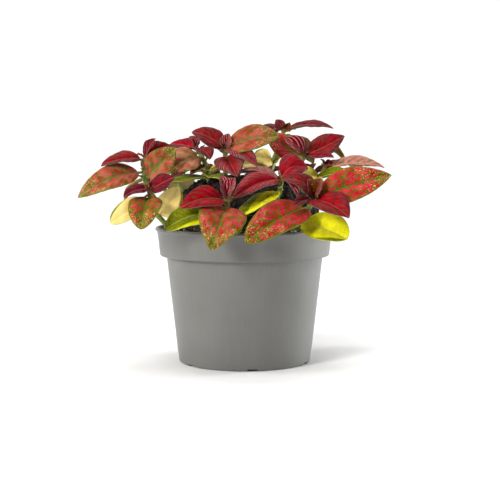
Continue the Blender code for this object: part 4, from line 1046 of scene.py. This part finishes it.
def spotted_leaf():
    """Pink and crimson patches on green, broken into specks with cream towards the tip."""
    finish = LeafFinish("spotted_leaf")
    green, pale, dark = finish.parts(finish.own("marks"))
    broad = finish.noise(finish.place, 0.4, 2)
    blotch = finish.noise(finish.place, 0.8, 4, 0.7, 0.6)
    streak = finish.noise(finish.moved(finish.along_veins, (1, 1.8, 1)), 1.2, 3, 0.65)
    mottle = finish.noise(finish.place, 3.0, 2, 0.6)
    field = finish.total((blotch, 0.5), (streak, 0.3), (mottle, 0.2))
    rib = finish.total((blotch, 3.0), start=finish.from_midrib)
    limit = finish.total(
        (green, 0.2), (finish.step(rib, 2.3, 1.3), 0.09), (finish.step(finish.out, 0.9, 1.0), 0.12),
        (finish.step(finish.share, 0.65, 1.0), 0.06), (finish.near_vein(), 0.03), start=0.38,
    )
    inside = finish.math("SUBTRACT", field, limit)
    blade = finish.ramp(broad, 0.35, 0.65, (0.06, 0.08, 0.001), (0.13, 0.16, 0.002))
    blade = finish.over(blade, (0.27, 0.3, 0.01), finish.step(mottle, 0.5, 0.7), 0.4)
    blade = finish.over(blade, (0.06, 0.15, 0.002), finish.step(rib, 2.5, 1.5), 0.7)
    blade = finish.over(blade, (0.17, 0.06, 0.004), finish.step(inside, -0.035, -0.01))
    pink = finish.ramp(broad, 0.4, 0.62, (0.42, 0.002, 0.018), (0.66, 0.013, 0.06))
    deep = finish.step(finish.total((mottle, 0.5), start=blotch), 0.72, 0.9)
    pink = finish.over(pink, (0.34, 0.001, 0.006), deep, 0.7)
    light = finish.step(finish.total((mottle, -0.4), start=streak), 0.42, 0.55)
    pink = finish.over(pink, (0.72, 0.1, 0.1), light, 0.4)
    colour = finish.over(blade, pink, finish.step(inside, -0.012, 0.01))
    fleck = finish.noise(finish.moved(finish.place, (1, 1.3, 1)), 2.2, 2, 0.6, 0.4)
    colour = finish.over(colour, (0.07, 0.1, 0.004), finish.step(fleck, 0.62, 0.65), 0.8)
    speck = finish.noise(finish.moved(finish.place, (1, 1.25, 1)), 1.9, 3, 0.7, 0.6)
    cream = finish.ramp(blotch, 0.42, 0.6, (0.7, 0.5, 0.12), (0.68, 0.22, 0.15))
    speckled = finish.over(colour, cream, finish.step(speck, 0.56, 0.6))
    zone = finish.total((broad, 0.6), (finish.out, 0.2), start=finish.share)
    colour = finish.over(colour, speckled, finish.step(zone, 0.96, 1.16),
                         finish.step(finish.out, 0.97, 0.9))
    ash = finish.mix(mottle, (0.4, 0.17, 0.12), (0.46, 0.36, 0.15))
    haze = finish.total((finish.near_vein(), 0.4), start=finish.step(broad, 0.3, 0.7))
    colour = finish.over(colour, ash, haze, pale, 0.7)
    colour = finish.over(colour, (0.07, 0.006, 0.008), dark, 0.6)
    colour = finish.over(colour, (0.2, 0.25, 0.04), finish.step(finish.from_midrib, 0.2, 0.06), 0.3)
    colour = finish.over(colour, (0.14, 0.18, 0.015), finish.step(finish.out, 0.955, 0.985))
    colour = finish.over(colour, (0.22, 0.24, 0.08), finish.under, 0.6)
    height = finish.total((mottle, 0.5), start=finish.step(finish.near_vein(), 1.0, 0.75))
    return finish.surface(colour, 0.44, height, 0.09, 0.6, LEAF_GLOSS)


def bud_leaf():
    """Crimson with bold pale stripes, or bronze and green in the greener ones."""
    finish = LeafFinish("bud_leaf")
    green, pale, dark = finish.parts(finish.own("marks"))
    mottle = finish.noise(finish.place, 2.4, 3, 0.6)
    thin = finish.noise(finish.along_veins, 2.6, 2, 0.6)
    red = finish.ramp(mottle, 0.35, 0.65, (0.1, 0.001, 0.006), (0.32, 0.002, 0.014))
    red = finish.over(red, (0.05, 0.006, 0.012), dark, finish.step(finish.out, 0.0, 0.8))
    fine = finish.noise(finish.place, 2.3, 2, 0.6)
    bronze = finish.ramp(fine, 0.44, 0.54, (0.035, 0.055, 0.003), (0.24, 0.012, 0.006))
    bronze = finish.over(bronze, (0.42, 0.3, 0.05), finish.step(fine, 0.6, 0.64))
    patch = finish.total((finish.noise(finish.place, 1.1, 2), 0.5), start=green)
    red = finish.over(red, bronze, finish.step(patch, 0.5, 0.8))
    rows = finish.total((thin, 0.5), (finish.near_vein(), 0.7))
    red = finish.over(red, (0.58, 0.28, 0.28), finish.step(rows, 0.72, 0.8),
                      finish.step(finish.out, 0.02, 0.2), finish.step(pale, 0.05, 0.6), 0.85)
    red = finish.over(red, (0.4, 0.18, 0.15), finish.step(finish.from_midrib, 0.24, 0.1), 0.5)
    red = finish.over(red, (0.2, 0.1, 0.09), finish.step(finish.out, 0.93, 0.98))
    red = finish.over(red, (0.18, 0.06, 0.055), finish.under, 0.5)
    return finish.surface(red, 0.36, thin, 0.08, 0.6, LEAF_GLOSS)


def old_leaf():
    """An old leaf without its red: lime or cream, olive painted shade on one half, brown specks."""
    finish = LeafFinish("old_leaf")
    cream, olive_shade_reach, specks = finish.parts(finish.own("marks"))
    broad = finish.noise(finish.place, 0.3, 2)
    mottle = finish.noise(finish.place, 1.6, 3, 0.6)
    lime = finish.ramp(broad, 0.35, 0.65, (0.62, 0.62, 0.0), (0.8, 0.76, 0.001))
    creamy = finish.ramp(broad, 0.3, 0.7, (0.66, 0.47, 0.14), (0.8, 0.62, 0.24))
    # Painted shade: the dark olive below covers one half of the blade, as the shade of the half
    # turned from the light, and reaches further towards the tip.
    deep = finish.ramp(mottle, 0.35, 0.65, (0.1, 0.12, 0.0), (0.16, 0.18, 0.001))
    side = finish.parts(finish.own("blade"))[1]
    reach = finish.total((side, SHADED_HALF), (finish.share, 0.5), (broad, 0.16), start=olive_shade_reach)
    colour = finish.over(finish.mix(cream, lime, creamy), deep, finish.step(reach, 0.8, 0.91))
    colour = finish.over(colour, (0.66, 0.55, 0.1), finish.step(mottle, 0.5, 0.8), 0.15)
    colour = finish.over(colour, (0.6, 0.55, 0.15), finish.step(finish.near_vein(), 0.9, 0.98), 0.12)
    colour = finish.over(colour, (0.6, 0.6, 0.2), finish.step(finish.from_midrib, 0.26, 0.1), 0.35)
    speck = finish.dots(finish.place, 1.1, (0.34, 0.2), (0.4, 0.45))[0]
    colour = finish.over(colour, (0.1, 0.045, 0.003), speck, specks)
    colour = finish.over(colour, (0.42, 0.4, 0.08), finish.step(finish.out, 0.96, 0.985))
    colour = finish.over(colour, (0.4, 0.41, 0.12), finish.under, 0.4)
    height = finish.total((mottle, 0.5), start=finish.step(finish.near_vein(), 1.0, 0.8))
    return finish.surface(colour, 0.44, height, 0.05, 0.5, LEAF_GLOSS)


def tuft(stem, share, count, reach, draw):
    """Small leaves around a place on the stem: for each its tip, width, bow and face."""
    middle = stem.point(share)
    along = (stem.point(share + 0.02) - stem.point(share - 0.02)).normalized()
    side = along.orthogonal()
    start = draw.uniform(0, math.tau)
    for index in range(count):
        turn = start + math.tau * index / count + draw.uniform(-TUFT_JITTER, TUFT_JITTER)
        out = Matrix.Rotation(turn, 3, along) @ side
        size = draw.uniform(*TUFT_SIZES) * reach
        way = out * draw.uniform(*TUFT_OUTWARD) + along * draw.uniform(*TUFT_UPWARD)
        tip = middle + way * size * MM
        yield tip / MM, size * draw.uniform(*TUFT_WIDTHS), TUFT_BOW, tuple(along - out * 0.35)


stem_finish = green_stem()
young_finish = young_leaf()
spotted_finish = spotted_leaf()
bud_finish = bud_leaf()
old_finish = old_leaf()
wave_draw = random.Random(LAYOUT_SEED)
leaf_draw = random.Random(LAYOUT_SEED + 1)
tuft_draw = random.Random(LAYOUT_SEED + 2)
for name, layout in SHOOTS.items():
    stem = Stem(layout)
    split = layout["crown"]
    low = new_growth()
    high = new_growth()
    grow_stem(low, stem, -1.0, split - CROWN_GAP / stem.length)
    grow_stem(high, stem, split, 1.0)
    for kind, share, tip, width, bow, face, marks in layout["leaves"]:
        leaf = Leaf(stem.point(share), kind, tip, width, bow, face,
                    wave_draw.uniform(*WAVE_PHASES))
        growth = high if share > split else low
        youth = OLD_YOUTH if kind == "yellow" else YOUNG_YOUTH
        grow_blade(growth, leaf, marks, leaf_draw.uniform(0, 90), KINDS[kind]["slot"])
        stalk_radius = min(RIB_RADIUS, RIB_OF_WIDTH * leaf.width + RIB_LEAST)
        grow_rib(growth, leaf, stalk_radius, youth)
    places = [(1.0, TUFT_LEAVES, TUFT_REACH, "tuft")]
    places += [(joint, SIDE_LEAVES, SIDE_REACH, "side") for joint in stem.joints
               if joint < SIDE_HIGHEST]
    for share, count, reach, kind in places:
        growth = high if share > split else low
        for tip, width, bow, face in tuft(stem, share, count, reach, tuft_draw):
            leaf = Leaf(stem.point(share), kind, tip, width, bow, face, 1.0)
            marks = (tuft_draw.uniform(0.3, 0.9), tuft_draw.uniform(0, 0.4), 0.3)
            slot = 1 if growth is low else KINDS[kind]["slot"]
            marks = (0.1, 0.55, 0.0) if growth is low else marks
            grow_blade(growth, leaf, marks, tuft_draw.uniform(0, 90), slot)
    stalk = object_from("stalk_" + name, low, stem_finish, old_finish, crease=55)
    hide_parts("stem_" + name)
    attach(stalk, "root")
    leaves = object_from("leaves_" + name, high, stem_finish, young_finish, spotted_finish,
                         bud_finish, crease=55)
    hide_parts("crown_" + name)
    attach(leaves, "root")

# Short stiff hairs stand on every stem, pale and nearly straight. They grow from its skin all
# the way round it, and lean a little towards its top.
HAIRS = 130                       # on each stem
HAIR_LENGTHS = (0.25 * MM, 0.55 * MM)
HAIR_RADIUS = 0.03 * MM
HAIR_SIDES = 4
HAIR_SHARES = (0.02, 0.98)        # between which shares of the stem's height they grow
HAIR_LEANS = (0.1, 0.5)
HAIR_ROOT = 0.85                  # where one starts, as a share of the stem's own radius
hair_draw = random.Random(LAYOUT_SEED + 3)
hair_bm = bmesh.new()


def grow_hairs(bm, stem):
    """The hairs of one stem, each a narrow cone."""
    for _ in range(HAIRS):
        share = hair_draw.uniform(*HAIR_SHARES)
        along = (stem.point(share + 0.01) - stem.point(share - 0.01)).normalized()
        turned = Matrix.Rotation(hair_draw.uniform(0, math.tau), 3, along)
        out = turned @ along.orthogonal()
        lean = (out + along * hair_draw.uniform(*HAIR_LEANS)).normalized()
        length = hair_draw.uniform(*HAIR_LENGTHS)
        middle = stem.point(share) + out * stem.radius(share) * HAIR_ROOT + lean * length / 2
        turn = lean.to_track_quat("Z", "Y").to_matrix().to_4x4()
        bmesh.ops.create_cone(bm, cap_ends=True, segments=HAIR_SIDES, radius1=HAIR_RADIUS,
                              radius2=0.0, depth=length, matrix=Matrix.Translation(middle) @ turn)


for layout in SHOOTS.values():
    grow_hairs(hair_bm, Stem(layout))
hairs = object_from("stem_hairs", hair_bm,
                    mineral("hair", (0.42, 0.4, 0.3), (0.62, 0.6, 0.48), roughness=0.6))
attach(hairs, "root")

# The stage: a white paper sweep that curves up behind the plant, and five soft lamps. One is at
# the left, one low behind on the right, the key low on the front left gives the shadows, a
# small one is above, and a large one overhead whitens the sweep.
SWEEP_WIDTH = 8.0
SWEEP_FRONT = -5.0
SWEEP_BACK = 1.6
SWEEP_CURVE = 0.8
SWEEP_HEIGHT = 3.0
SAME_POINT = 1e-6                 # sweep points closer than this are joined by no edge
PAPER_TONES = ((0.9, 0.9, 0.9), (0.92, 0.92, 0.92))
SURROUND_STRENGTH = 0.1
WHITE = (1.0, 1.0, 1.0)
sweep_line = [(SWEEP_FRONT, 0.0), (SWEEP_BACK - SWEEP_CURVE, 0.0)]
sweep_line += arc(SWEEP_BACK - SWEEP_CURVE, SWEEP_CURVE, SWEEP_CURVE, -90, 0, 24)
sweep_line += [(SWEEP_BACK, SWEEP_HEIGHT)]
sweep_bm = bmesh.new()
sweep_verts = [sweep_bm.verts.new((-SWEEP_WIDTH / 2, y, z)) for y, z in sweep_line]
sweep_edges = [sweep_bm.edges.new(pair) for pair in zip(sweep_verts, sweep_verts[1:])
               if (pair[0].co - pair[1].co).length > SAME_POINT]
swept = bmesh.ops.extrude_edge_only(sweep_bm, edges=sweep_edges)["geom"]
bmesh.ops.translate(
    sweep_bm, vec=(SWEEP_WIDTH, 0.0, 0.0),
    verts=[item for item in swept if isinstance(item, bmesh.types.BMVert)],
)
bmesh.ops.recalc_face_normals(sweep_bm, faces=sweep_bm.faces[:])
paper = Finish("white_paper")
paper_colour = paper.mix(paper.noise(paper.object_place, 3, 2), *PAPER_TONES)
sweep = object_from("sweep", sweep_bm, paper.surface(paper_colour, 0.9))


def soft_lamp(name, place, aim, size, power, colour):
    """A round lamp of this width in metres and power in watts, aimed at a place."""
    lamp = bpy.data.lights.new(name, "AREA")
    lamp.shape = "DISK"
    lamp.size = size
    lamp.energy = power
    lamp.color = colour
    obj = bpy.data.objects.new(name, lamp)
    obj.location = place
    obj.rotation_euler = (Vector(aim) - Vector(place)).to_track_quat("-Z", "Y").to_euler()
    bpy.context.scene.collection.objects.link(obj)


PLANT_MIDDLE = (0.0, 0.0, POT_HEIGHT)
soft_lamp("left_box", (-1.1, 0.1, 0.4), PLANT_MIDDLE, 0.5, 5.0, (1.0, 0.99, 0.97))
soft_lamp("right_box", (1.05, 0.35, 0.16), PLANT_MIDDLE, 0.4, 15.0, (0.98, 0.99, 1.0))
soft_lamp("key", (-0.68, -0.84, 0.53), PLANT_MIDDLE, 0.4, 12.0, (1.0, 0.985, 0.96))
soft_lamp("top", (0.0, -0.35, 1.2), PLANT_MIDDLE, 0.4, 3.5, WHITE)
soft_lamp("overhead", (0.0, 0.6, 2.2), (0.0, 1.3, 0.2), 1.4, 26.0, WHITE)
world = bpy.data.worlds.new("surround")
world.use_nodes = True
background = world.node_tree.nodes["Background"].inputs
background["Color"].default_value = (*WHITE, 1.0)
background["Strength"].default_value = SURROUND_STRENGTH
bpy.context.scene.world = world
bpy.context.scene.view_settings.view_transform = "Standard"

# The camera looks a little down on the pot from about 450 mm away, as in the photograph. Its
# place, pitch and focal length follow from the pot's rim and foot as they show there.
CAMERA_PLACE = (1.8 * MM, -450 * MM, 78.5 * MM)
CAMERA_PITCH = 5.2                # degrees below the horizon
FOCAL_PIXELS = 1340               # focal length in pixels of a frame 500 pixels wide
FRAME_PIXELS = 500
SENSOR_WIDTH = 36.0
camera_data = bpy.data.cameras.new("camera")
camera_data.sensor_width = SENSOR_WIDTH
camera_data.lens = FOCAL_PIXELS / FRAME_PIXELS * SENSOR_WIDTH
camera = bpy.data.objects.new("camera", camera_data)
camera.location = CAMERA_PLACE
camera.rotation_euler = (math.radians(90 - CAMERA_PITCH), 0.0, 0.0)
bpy.context.scene.collection.objects.link(camera)
bpy.context.scene.camera = camera
